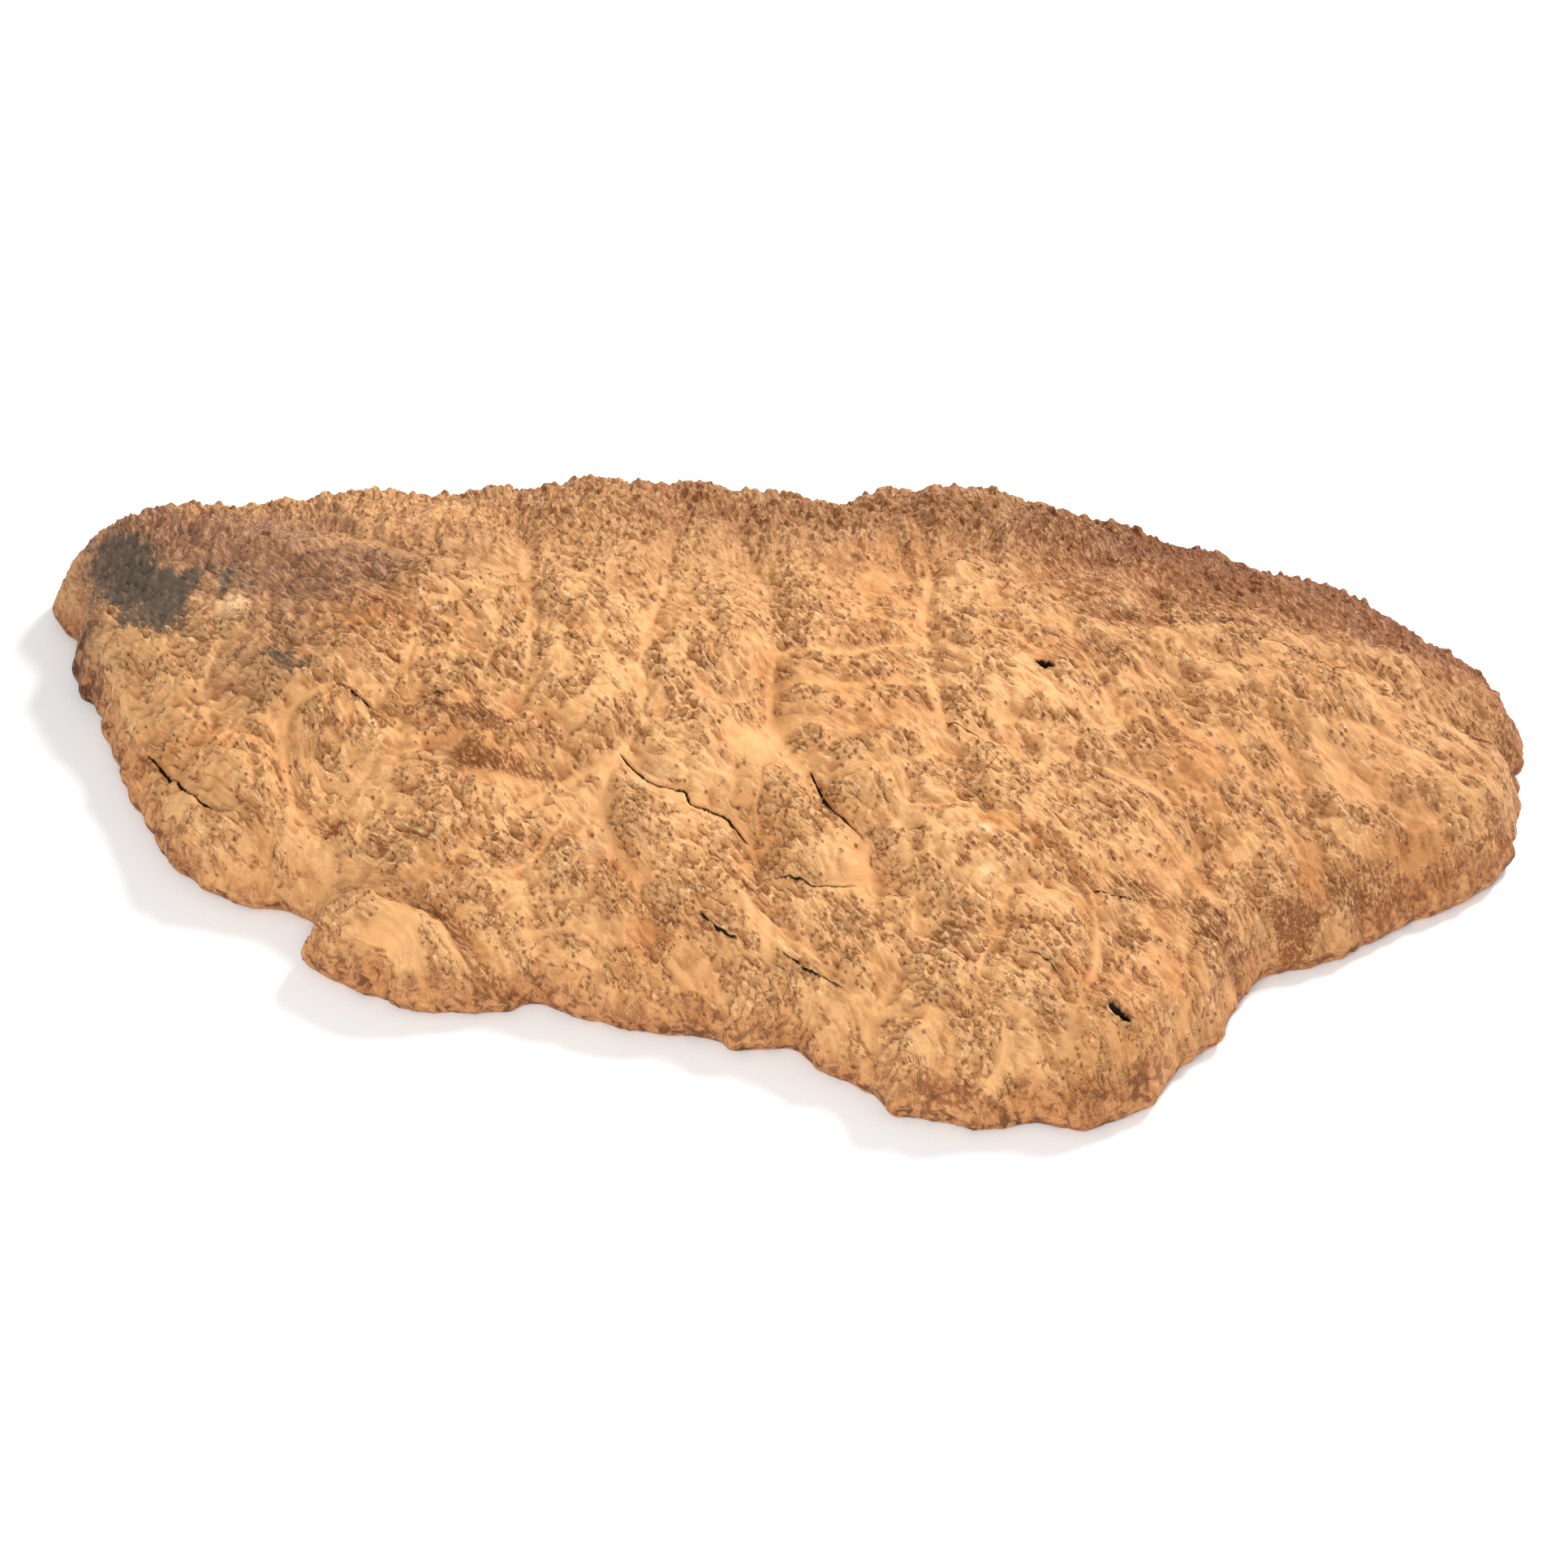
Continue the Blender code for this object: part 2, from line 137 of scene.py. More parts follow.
# Places where the wood is bare of eyes: centre and radius, in millimetres
BARE = [
    (-400, 42, 30), (-384, 0, 26), (-364, -40, 22), (-246, -112, 24), (-205, -152, 24), (344, -38, 30),
    (54, -140, 14), (111, -165, 20), (60, 78, 22), (-11, -58, 16), (-120, 224, 18),
]

# Cracks along the grain: points in plan and width at the surface, in millimetres
CRACKS = [
    ([(-88, -60), (-80, -70), (-71, -82), (-62, -87), (-50, -90), (-47, -96), (-33, -98), (-26, -101),
      (-22, -107), (-14, -116)], 2.8),
    ([(22, -79), (27, -91), (34, -103), (42, -111), (51, -121)], 2.4),
    ([(384, 9), (397, 0), (417, 4), (431, 12)], 2.8),
    ([(-257, 10), (-241, -4), (-230, -10)], 2.4),
]
CRACK_DEPTH = 0.012

# Knot holes: centre, length, width, in millimetres, and the turn in degrees
KNOTS = [(158, -2, 11, 8, -20), (190, -241, 13, 6, -25)]
KNOT_DEPTH = 0.016
print(len(OUTLINE), "outline points,", len(VALLEYS), "valleys,", len(LOBES), "lobes")

# Narrow bands of straight grain between the pads, points in plan in millimetres
BANDS = [
    [(-4, -18), (-18, -25), (-29, -22), (-46, -21), (-58, -27), (-72, -29)],
    [(-15, -43), (-8, -66), (-7, -86), (-10, -102), (-3, -126)], [(-27, -48), (-22, -76), (-24, -91)],
    [(-22, -60), (-8, -51)], [(-24, -80), (-8, -78)], [(-22, -93), (-9, -96)],
    [(-50, 97), (-45, 50), (-25, 44), (-6, 55)], [(-68, 29), (-49, 35), (-25, 24), (-4, 15)],
    [(-1, 9), (22, 7), (46, 4), (70, 16), (89, 22)], [(1, -19), (22, -18), (51, -20), (74, -17), (91, -21)],
    [(17, -65), (41, -58), (64, -48), (92, -47)], [(22, -83), (50, -83), (73, -81), (99, -68)],
    [(54, -125), (72, -117), (86, -109), (109, -106)], [(73, -84), (77, -104), (79, -119)],
    [(-147, 76), (-123, 84), (-93, 68), (-67, 78)], [(-145, 46), (-121, 32), (-102, 31), (-78, 31)],
    [(-148, -18), (-123, -46), (-99, -52)], [(-186, -15), (-167, -5), (-143, -3)],
    [(-210, -8), (-216, 17), (-213, 40), (-219, 62)], [(-330, 30), (-312, -8), (-288, -30)],
    [(-366, 36), (-340, 27), (-309, 21)], [(-262, -21), (-242, -39), (-226, -61), (-211, -85)],
    [(-214, -29), (-222, -62), (-201, -91)], [(116, -35), (134, -45), (162, -52), (200, -45)],
    [(115, -60), (134, -68), (166, -72), (199, -77), (215, -75)],
    [(212, -5), (220, -34), (233, -59), (245, -84), (254, -96)],
    [(259, -17), (271, -52), (288, -81), (301, -106)], [(231, -2), (249, -25), (267, -46)],
    [(315, -31), (333, -54), (350, -68), (374, -73), (400, -58)],
    [(314, -79), (325, -91), (329, -111), (349, -112)], [(129, -208), (146, -215), (159, -228), (168, -234)],
    [(128, -239), (150, -247), (163, -257), (177, -261)], [(84, -233), (97, -250), (97, -261)],
    [(4, -153), (8, -179), (22, -187)], [(22, -189), (31, -204), (44, -215), (49, -219)],
    [(-1, -190), (-24, -183), (-46, -188)], [(-117, -95), (-102, -131), (-106, -147)],
    [(-180, -140), (-161, -152), (-139, -143), (-106, -147)],
    [(-172, -119), (-153, -129), (-135, -119), (-117, -95)], [(-226, -154), (-207, -170), (-198, -180)],
    [(-33, -192), (-26, -205), (-15, -214)], [(227, -170), (203, -177), (180, -185)],
    [(186, -153), (205, -136), (224, -135), (239, -121)],
    [(-106, -147), (-97, -166), (-101, -178), (-120, -179)],
    [(-143, -161), (-120, -160), (-97, -166)], [(-335, -33), (-307, -66), (-293, -84), (-308, -90)],
    [(325, -21), (354, -24), (382, -35), (413, -28)], [(349, -112), (369, -94), (399, -77), (427, -53)],
    [(168, 79), (175, 24), (188, -8), (200, -45)], [(228, 94), (233, 37), (246, 17)],
    [(129, 175), (130, 91), (137, 37), (155, 9)],
]

# %% [markdown]
# ## Lines in plan
# Outline, valleys, bands and cracks are all smooth curves through the listed points. Most of what follows
# asks how far a plan point lies from such a curve, or whether it lies inside the outline.

# %% Lines and distances in plan
def smooth_line(points, closed, step):
    """Points about `step` apart on a curve that passes through the given points, as an (n, 2) array."""
    knots = np.array(points, float)
    count = len(knots)
    dense = []
    spans = count if closed else count - 1
    for k in range(spans):
        if closed:
            a, b, c, d = (knots[(k + j) % count] for j in (-1, 0, 1, 2))
        else:
            a, b, c, d = (knots[min(max(k + j, 0), count - 1)] for j in (-1, 0, 1, 2))
        for t in np.linspace(0, 1, 9)[:-1]:
            dense.append(0.5 * (2 * b + (c - a) * t + (2 * a - 5 * b + 4 * c - d) * t ** 2
                                + (3 * b - a - 3 * c + d) * t ** 3))
    dense.append(knots[0] if closed else knots[-1])
    dense = np.array(dense)
    run = np.concatenate([[0], np.cumsum(np.hypot(*np.diff(dense, axis=0).T))])
    stops = np.linspace(0, run[-1], max(2, round(run[-1] / step)) + 1)
    if closed:
        stops = stops[:-1]
    return np.column_stack([np.interp(stops, run, dense[:, axis]) for axis in (0, 1)])


def plan_line(points, step, closed=False):
    """A smooth line through points given in millimetres."""
    return smooth_line(np.array(points) * MM, closed, step)


def distance_to_line(at, line, reach=None):
    """Distance from each point in plan to a chain of points; beyond `reach` it may just say `reach`."""
    best = np.full(len(at), np.inf if reach is None else reach)
    near = slice(None)
    if reach is not None:
        inside = (at > line.min(axis=0) - reach) & (at < line.max(axis=0) + reach)
        near = np.flatnonzero(inside.all(axis=1))
    close = at[near]
    found = best[near]
    for a, b in zip(line[:-1], line[1:]):
        run = b - a
        t = np.clip((close - a) @ run / (run @ run), 0, 1)
        found = np.minimum(found, np.hypot(*(close - a - t[:, None] * run).T))
    best[near] = found
    return best


def is_inside(at, ring):
    """Whether each point in plan lies inside a closed ring."""
    inside = np.zeros(len(at), bool)
    for a, b in zip(ring, np.roll(ring, -1, axis=0)):
        spans = (a[1] > at[:, 1]) != (b[1] > at[:, 1])
        rise = b[1] - a[1] if b[1] != a[1] else 1.0
        inside ^= spans & (at[:, 0] < a[0] + (b[0] - a[0]) * (at[:, 1] - a[1]) / rise)
    return inside


def closed(ring):
    return np.vstack([ring, ring[:1]])


def outward_ways(ring):
    """The unit way outward at each point of a closed ring."""
    along = np.roll(ring, -1, axis=0) - np.roll(ring, 1, axis=0)
    return np.column_stack([along[:, 1], -along[:, 0]]) / np.hypot(*along.T)[:, None]


def turned(at, degrees):
    """How far plan points lie along and across a direction turned from the x axis."""
    c, s = math.cos(math.radians(degrees)), math.sin(math.radians(degrees))
    x, y = at.T
    return x * c + y * s, y * c - x * s


def bell(value):
    """1 at zero, and falling softly to both sides."""
    return np.exp(-value ** 2)


EDGE_LINE = plan_line(OUTLINE, EDGE_STEP, True)
VALLEY_LINES = [(plan_line(points, 0.008), width * MM, depth * MM) for points, width, depth in VALLEYS]
BAND_LINES = [plan_line(points, 0.006) for points in BANDS]
print("the edge is", round(len(EDGE_LINE) * EDGE_STEP, 2), "m round")

# %% [markdown]
# ## Edge and cones of the solid
# The ragged edge and the cones of the solid were drawn from one random sequence. Drawing the same numbers in
# the same order gives the same edge and the same cones here, which then only have to be softened.

# %% Edge points and cones of the solid
def swell(x, y):
    """Long low waves over the whole crown."""
    return (0.0022 * np.sin(47 * x + 1.7 * np.sin(31 * y + 0.6))
            + 0.0020 * np.sin(58 * y - 19 * x + 1.4 * np.sin(43 * x))
            + 0.0012 * np.sin(96 * x + 71 * y + 2.0))


def cone_share(at, reach=0.62):
    """How much of its full height a cone has here: none in the valleys and the bare places."""
    share = np.ones(len(at))
    for line, width, _depth in VALLEY_LINES:
        share *= 1 - bell(distance_to_line(at, line, 3 * width) / (reach * width))
    for cx, cy, radius in BARE:
        away = np.hypot(at[:, 0] / MM - cx, at[:, 1] / MM - cy) / radius
        share *= 1 - np.exp(-away ** 3)
    return share


def drawn_edge_and_cones():
    """The ragged edge, the cones as plan points with heights, and the shift that centred the solid."""
    rng = random.Random(11)
    jag = np.array([(-1) ** k * rng.uniform(0.4, 1.0) * EDGE_JAG for k in range(len(EDGE_LINE))])
    widest = EDGE_LINE + outward_ways(EDGE_LINE) * jag[:, None]
    pitch = 0.0094
    spots = []
    is_tip = []
    for row in range(-36, 37):
        for column in range(-71, 72):
            shift = (rng.uniform(-1, 1) * 0.30, rng.uniform(-1, 1) * 0.30)
            spots.append(((column + row / 2 + shift[0]) * pitch,
                          (row * math.sqrt(3) / 2 + shift[1]) * pitch))
            is_tip.append((column - row) % 3 == 0)
    spots = np.array(spots)
    is_tip = np.array(is_tip)
    keep = is_inside(spots, widest)
    keep[keep] = distance_to_line(spots[keep], closed(widest)) > 0.0052
    spots, is_tip = spots[keep], is_tip[keep]
    luck = np.array([rng.uniform(0, 1) for _ in spots])
    towards_back = np.clip((spots[:, 1] - 0.02) / 0.20, 0, 1)
    towards_left = np.clip((-0.15 - spots[:, 0]) / 0.25, 0, 1)
    full = 0.0050 + 0.0016 * np.maximum(towards_back, 0.5 * towards_left)
    rise = (full * (0.45 + 0.95 * luck) * cone_share(spots))[is_tip]
    middle = (widest.min(axis=0) + widest.max(axis=0)) / 2
    return widest, spots[is_tip], rise, middle


WIDEST, TIPS, TIP_RISE, MIDDLE = drawn_edge_and_cones()
print(len(TIPS), "cones, up to", round(TIP_RISE.max() * 1000, 1), "mm high; the plan is shifted by",
      [round(v * 1000, 2) for v in -MIDDLE], "mm")

# %% [markdown]
# ## Random waves
# Nothing here may change from run to run, so every table of random numbers has a fixed seed. Waves stretched
# along the grain give its ridges, and stamps set one shape at many spots.

# %% Random waves
def wave_noise(at, size, seed, octaves=1):
    """Smooth random values from -1 to 1 over plan points; `size` is the distance between bumps."""
    table = np.random.default_rng(seed).uniform(-1, 1, (128, 128))
    total = np.zeros(len(at))
    weight = 0.0
    for octave in range(octaves):
        spot = at * 2 ** octave / size + 37.3 * octave
        cell = np.floor(spot).astype(int)
        part = spot - cell
        ease = part * part * (3 - 2 * part)
        i, j = cell.T % 128
        i1, j1 = (i + 1) % 128, (j + 1) % 128
        lower = table[i, j] * (1 - ease[:, 0]) + table[i1, j] * ease[:, 0]
        upper = table[i, j1] * (1 - ease[:, 0]) + table[i1, j1] * ease[:, 0]
        total += 0.55 ** octave * (lower * (1 - ease[:, 1]) + upper * ease[:, 1])
        weight += 0.55 ** octave
    return total / weight


def bend(at, size, seeds, octaves=1):
    """Random waves for x and for y, to bend plan points with."""
    return np.column_stack([wave_noise(at, size, seed, octaves) for seed in seeds])


def step_up(value, start, end):
    """A soft step from 0 at `start` to 1 at `end`."""
    t = np.clip((value - start) / (end - start), 0, 1)
    return t * t * (3 - 2 * t)


def along_grain(at, turn, seed):
    """Plan points turned so that the first number runs along the grain, which slow random waves bend."""
    bent = at + 0.011 * bend(at, 0.060, (seed, seed + 1), 2)
    return np.column_stack(turned(bent, turn))


def strands(flow, length, width, seed):
    """Ridges from 0 to 1, `length` long and `width` apart, that lie along the grain."""
    return 1 - np.minimum(1, 2.1 * np.abs(wave_noise(flow / (length, width), 1.0, seed, 2)))


def within_reach(at, spots, reach):
    """For each spot in turn: its number, the plan points within reach of it, and how far off they are."""
    order = np.argsort(at[:, 0])
    xs, ys = at[order].T
    first = np.searchsorted(xs, spots[:, 0] - reach)
    last = np.searchsorted(xs, spots[:, 0] + reach)
    for number, ((x, y), a, b) in enumerate(zip(spots, first, last)):
        near = a + np.flatnonzero(np.abs(ys[a:b] - y) < reach)
        yield number, order[near], np.hypot(xs[near] - x, ys[near] - y)


def stamp(at, spots, reach, rises, shape):
    """Sum over all spots of rise * shape(distance / reach), within the reach of each."""
    total = np.zeros(len(at))
    for number, near, away in within_reach(at, spots, reach):
        away = away / reach
        total[near] += np.where(away < 1, rises[number] * shape(np.minimum(away, 1)), 0)
    return total


def nearest_spot(at, spots, reach):
    """Distance from each plan point to the nearest of the spots, as far as `reach`."""
    best = np.full(len(at), float(reach))
    for _number, near, away in within_reach(at, spots, reach):
        best[near] = np.minimum(best[near], away)
    return best

# %% [markdown]
# ## The ragged edge
# The bark came off the live edge with small spikes left standing. The edge curve passes through the solid's
# ragged points, and two finer random waves along its length make the spikes between them.

# %% The fine edge line
PITCH = 0.00115


def along_noise(count, step, size, seed):
    """Random waves from -1 to 1 along a closed line of `count` points."""
    bumps = max(8, round(count * step / size))
    values = np.random.default_rng(seed).uniform(-1, 1, bumps)
    spot = np.arange(count) * bumps / count
    cell = np.floor(spot).astype(int)
    ease = spot - cell
    ease = ease * ease * (3 - 2 * ease)
    return values[cell % bumps] * (1 - ease) + values[(cell + 1) % bumps] * ease


def fine_edge():
    """The closed edge line with its small spikes, and the way outward at each of its points."""
    step = PITCH * 1.08
    ring = smooth_line(0.5 * (WIDEST + EDGE_LINE), True, step)
    outward = outward_ways(ring)
    count = len(ring)
    at_back = step_up(ring[:, 1] + 0.25 * ring[:, 0], 0.02, 0.16)
    size = 0.0009 + 0.0004 * at_back
    shift = size * (along_noise(count, step, 0.0062, 3) + 0.7 * along_noise(count, step, 0.0034, 4))
    shift += 0.0018 * along_noise(count, step, 0.0150, 5)
    return ring + outward * shift[:, None], outward


RING, RING_OUT = fine_edge()
ROUND = len(RING)
print("the fine edge has", ROUND, "points")

# %% [markdown]
# ## Points of the skin
# The skin is one mesh over plan points: an even triangular lattice, a finer one in the band where the edge
# drops, and rows of points on both lips and along the bottom of every crack, so that the cracks stay sharp.

# %% Crack lines and plan points
# Finer cracks, which only this skin has: points in plan and width at the surface, in millimetres
FINE_CRACKS = [
    ([(2, -142), (14, -144), (26, -148), (47, -150)], 1.3), ([(-40, -161), (-32, -169), (-20, -178)], 1.2),
    ([(5, -187), (14, -194), (26, -202), (39, -211)], 1.1), ([(178, -160), (192, -163), (206, -161)], 0.9),
    ([(99, -51), (113, -59), (127, -70), (136, -73)], 0.9), ([(142, -209), (151, -215), (158, -222)], 0.9),
    ([(-372, 6), (-363, -7), (-349, -28), (-336, -48), (-323, -59)], 2.4),
    ([(278, 32), (300, 33), (320, 35), (338, 33), (354, 22), (366, 17), (378, 14)], 0.9),
    ([(383, 16), (390, 9), (397, 3)], 1.9), ([(403, 9), (412, 11), (420, 14), (430, 16)], 2.2),
    ([(434, 13), (442, 16), (450, 22)], 1.6), ([(-198, -5), (-192, -11)], 1.6),
]
EDGE_BAND = 0.0085


def crack_rows():
    """For every crack: its bottom line, its half width at each point and its full depth there."""
    rows = []
    for number, (points, width) in enumerate(CRACKS + FINE_CRACKS):
        line = plan_line(points, PITCH * 1.15)
        line = line + 0.0007 * bend(line, 0.0075, (70 + number, 90 + number), 2)
        share = 0.25 + 0.75 * np.sqrt(np.sin(np.pi * np.linspace(0, 1, len(line))))
        rough = 1.0 + 0.35 * wave_noise(line, 0.012, 50 + number, 2)
        half = 0.5 * max(width, 1.7 if number < len(CRACKS) else 0) * MM * share * rough
        deep = CRACK_DEPTH * share * min(1.0, width / 2.4)
        rows.append((line, half, deep))
    return rows


def lattice(pitch):
    rows = np.arange(-0.31, 0.31, pitch * math.sqrt(3) / 2)
    columns = np.arange(-0.48, 0.48, pitch)
    x, y = np.meshgrid(columns, rows)
    x[1::2] += pitch / 2
    spots = np.column_stack([x.ravel(), y.ravel()])
    return spots + np.random.default_rng(5).uniform(-0.12, 0.12, spots.shape) * pitch


CRACK_ROWS = crack_rows()


def is_left(p, q, r):
    """Whether r lies to the left of the way from p to q."""
    way, other = q - p, r - p
    return way[..., 0] * other[..., 1] > way[..., 1] * other[..., 0]


def uncrossed(pairs, at):
    """The pairs of joined points that cross no pair before them."""
    a, b = at[[p for p, _q in pairs]], at[[q for _p, q in pairs]]
    kept = []
    for k in range(len(pairs)):
        c, d = a[kept], b[kept]
        apart = np.abs(c - a[k]).max(axis=1) > 0
        apart &= np.abs(d - a[k]).max(axis=1) > 0
        apart &= np.abs(c - b[k]).max(axis=1) > 0
        crosses = is_left(a[k], b[k], c) != is_left(a[k], b[k], d)
        crosses &= is_left(c, d, a[k]) != is_left(c, d, b[k])
        if not (crosses & apart).any():
            kept.append(k)
    return [pairs[k] for k in kept]


def plan_points():
    """Plan points of the skin, the edge ring first, how deep each lies in a crack, and the crack lines."""
    coarse = lattice(PITCH)
    # The edge line, made a little larger, sieves first, because the fine ring is slow to test
    coarse = coarse[is_inside(coarse, EDGE_LINE * 1.02)]
    coarse = coarse[is_inside(coarse, RING)]
    coarse = coarse[nearest_spot(coarse, RING, 0.010) > EDGE_BAND]
    close = lattice(PITCH * 0.62)
    close = close[nearest_spot(close, RING[::4], 0.012) < 0.0115]
    close = close[is_inside(close, RING)]
    away = nearest_spot(close, RING, 0.010)
    close = close[(away <= EDGE_BAND) & (away > PITCH * 0.55)]
    spots = np.vstack([coarse, close])
    lips = []
    depth = []
    row_of = []
    for line, half, deep in CRACK_ROWS:
        along = np.gradient(line, axis=0)
        side = np.column_stack([-along[:, 1], along[:, 0]]) / np.hypot(*along.T)[:, None]
        lips += [line, line + side * half[:, None], line - side * half[:, None]]
        depth += [deep, 0 * deep, 0 * deep]
        row_of += [np.full(len(line), len(depth) + k) for k in range(3)]
    lips = np.vstack(lips)
    depth = np.concatenate(depth)
    ok = is_inside(lips, RING)
    ok[ok] = nearest_spot(lips[ok], RING, 0.010) > PITCH * 0.8
    lips, depth, row_of = lips[ok], depth[ok], np.concatenate(row_of)[ok]
    spots = spots[nearest_spot(spots, lips, PITCH) > PITCH * 0.6]
    depths = np.concatenate([np.zeros(len(RING) + len(spots)), depth])
    first = len(RING) + len(spots)
    pairs = [(first + k, first + k + 1) for k in np.flatnonzero(row_of[1:] == row_of[:-1])]
    points = np.vstack([RING, spots, lips])
    return points, depths, uncrossed(pairs, points)


PLAN, CRACK_DROP, CRACK_EDGES = plan_points()
print(len(PLAN), "plan points")

# %% [markdown]
# ## Heights
# The large form of the cap: it climbs steeply at the live edge and slowly over the crown, with lobes, long
# swells and smooth valleys. It could be sculpted over the solid, but the solid's own formula gives the same
# form at any fineness, so the skin stays on the solid.

# %% Ground height
def ground(at, to_edge):
    x, y = at.T
    edge = 1 - (1 - np.clip(to_edge / EDGE_RUN, 0, 1)) ** EDGE_ROUND
    crown = 1 - (1 - np.clip(to_edge / CROWN_RUN, 0, 1)) ** CROWN_ROUND
    height = LIP_HEIGHT + (EDGE_HEIGHT - LIP_HEIGHT) * edge + CROWN_HEIGHT * crown
    relief = swell(x, y)
    for cx, cy, rx, ry, rise in LOBES:
        reach = ((x / MM - cx) / rx) ** 2 + ((y / MM - cy) / ry) ** 2
        relief += rise * MM * np.exp(-reach)
    valley = np.zeros(len(at))
    for line, width, depth in VALLEY_LINES:
        valley = np.maximum(valley, depth * bell(distance_to_line(at, line, 3.2 * width) / width))
    valley *= VALLEY_SHARE * np.interp(y, BACK_FADE, [1.0, 0.05])
    return height + (relief - valley) * np.sqrt(np.clip(to_edge / RELIEF_RUN, 0, 1))


to_ring = nearest_spot(PLAN, RING, 0.012)
to_ring[:ROUND] = 0
to_line = distance_to_line(PLAN, closed(EDGE_LINE))
blend = step_up(to_ring, 0.002, 0.011)
TO_EDGE = to_ring * (1 - blend) + to_line * blend
GROUND = ground(PLAN, TO_EDGE)
print("the ground rises to", round(GROUND.max() * 1000, 1), "mm")

# %% [markdown]
# ## Pads, bands and fine ridges
# On the real cap the eyes stand crowded on small convex pads, and the smooth wood between them forms a net of
# bands. Towards the back the pads give way to a crust of cones. They could be sculpted, but there are
# hundreds, so each is a height over the plan made by a rule: the net lies where the nearest two of scattered
# points are equally far, the ridges are random waves drawn out along the grain, and the cones are stamps.

# %% Nets, bands and small cones
def cells(at, size, seed):
    """Distance to the nearest and the second nearest of scattered seeds, in units of `size`."""
    shift = np.random.default_rng(seed).uniform(-0.42, 0.42, (64, 64, 2))
    spot = at / size
    home = np.floor(spot).astype(int)
    nearest = np.full(len(at), 9.0)
    second = np.full(len(at), 9.0)
    for dx in (-1, 0, 1, 2, -2):
        for dy in (-1, 0, 1, 2, -2):
            if abs(dx) + abs(dy) > 3:
                continue
            cell = home + (dx, dy)
            seed_at = cell + 0.5 + shift[cell[:, 0] % 64, cell[:, 1] % 64]
            away = np.hypot(*(spot - seed_at).T)
            second = np.minimum(second, np.maximum(nearest, away))
            nearest = np.minimum(nearest, away)
    return nearest, second


def pad_field(at):
    """How far each point is from the bands of the two nets, 0 in a band and 1 on a pad."""
    warp = bend(at, 0.055, (21, 22), 2) * 0.016
    bent = at + warp
    fan = np.column_stack([bent[:, 0] * 1.25 + 0.10 * bent[:, 1], bent[:, 1] * 0.85])
    one, two = cells(fan, 0.046, 31)
    wide = step_up(two - one, 0.03, 0.34)
    one, two = cells(bent + 0.3 * warp[:, ::-1], 0.019, 32)
    narrow = step_up(two - one, 0.02, 0.36)
    return wide, narrow


def nearest_line(at, lines, reach):
    """Distance to the nearest of several lines, as far as `reach`."""
    best = np.full(len(at), float(reach))
    for line in lines:
        best = np.minimum(best, distance_to_line(at, line, reach))
    return best


def small_cones(at, pitch, seed):
    """Sharp small cones on a jittered grid, as a height from 0 to 1."""
    rng = np.random.default_rng(seed)
    columns, rows = np.meshgrid(np.arange(-0.47, 0.47, pitch), np.arange(-0.30, 0.30, pitch * 0.87))
    columns[1::2] += pitch / 2
    spots = np.column_stack([columns.ravel(), rows.ravel()])
    spots += rng.uniform(-0.36, 0.36, spots.shape) * pitch
    luck = rng.uniform(0.25, 1, len(spots))
    return stamp(at, spots, pitch * 0.62, luck, lambda r: (1 - r) ** 1.25)


# %% Where the wood is grown over, banded or bare
# The fold behind the front knob, and round pads crowded with eyes (centre, two radii), in millimetres
CREASE = [(-226, -138), (-213, -138), (-201, -141), (-186, -148), (-175, -163), (-163, -172), (-152, -177),
          (-142, -179)]
EYE_PADS = [
    (21, -108, 21, 23), (35, -177, 24, 14), (150, -208, 24, 22), (106, -190, 15, 20), (-38, -135, 22, 17),
    (74, -157, 9, 7), (200, -238, 22, 11), (168, -262, 17, 7), (122, -240, 15, 12), (158, -149, 22, 15),
    (180, -110, 24, 15), (254, -166, 18, 14), (-150, -110, 30, 18), (-300, -60, 22, 14),
]
PADDED = np.zeros(len(PLAN))
uneven = 5 * bend(PLAN, 0.03, (35, 36))
for cx, cy, rx, ry in EYE_PADS:
    off = PLAN / MM - (cx, cy) + uneven
    PADDED = np.maximum(PADDED, bell((off[:, 0] / rx) ** 2 + (off[:, 1] / ry) ** 2))
wide, narrow = pad_field(PLAN)
BACK = step_up(PLAN[:, 1] + 0.12 * PLAN[:, 0] + 0.03 * wave_noise(PLAN, 0.11, 23), 0.03, 0.19)
LEFT = step_up(-PLAN[:, 0], 0.16, 0.36)
RIGHT = step_up(PLAN[:, 0], 0.20, 0.40)
OVERGROWN = step_up(wave_noise(PLAN, 0.034, 33, 3), -0.20, 0.35)
OPEN = np.maximum(np.clip(cone_share(PLAN, 0.25) + 0.75 * OVERGROWN, 0, 1), 0.85 * BACK)
OPEN = np.maximum.reduce([OPEN, 0.18 + 0.42 * step_up(PLAN[:, 0], 0.20, 0.32), 0.9 * PADDED])
to_crease = distance_to_line(PLAN, plan_line(CREASE, 0.006), 0.024)
CREASED = bell(to_crease / 0.0055) * step_up(PLAN[:, 0], -0.226, -0.196)
to_band = nearest_line(PLAN, BAND_LINES, 0.024)
to_valley = nearest_line(PLAN, [line for line, _width, _depth in VALLEY_LINES], 0.024)
BANDED = bell(to_band / (0.0026 + 0.0011 * wave_noise(PLAN, 0.030, 28)))
BANDED *= (1 - 0.8 * BACK) * (1 - 0.65 * OVERGROWN)

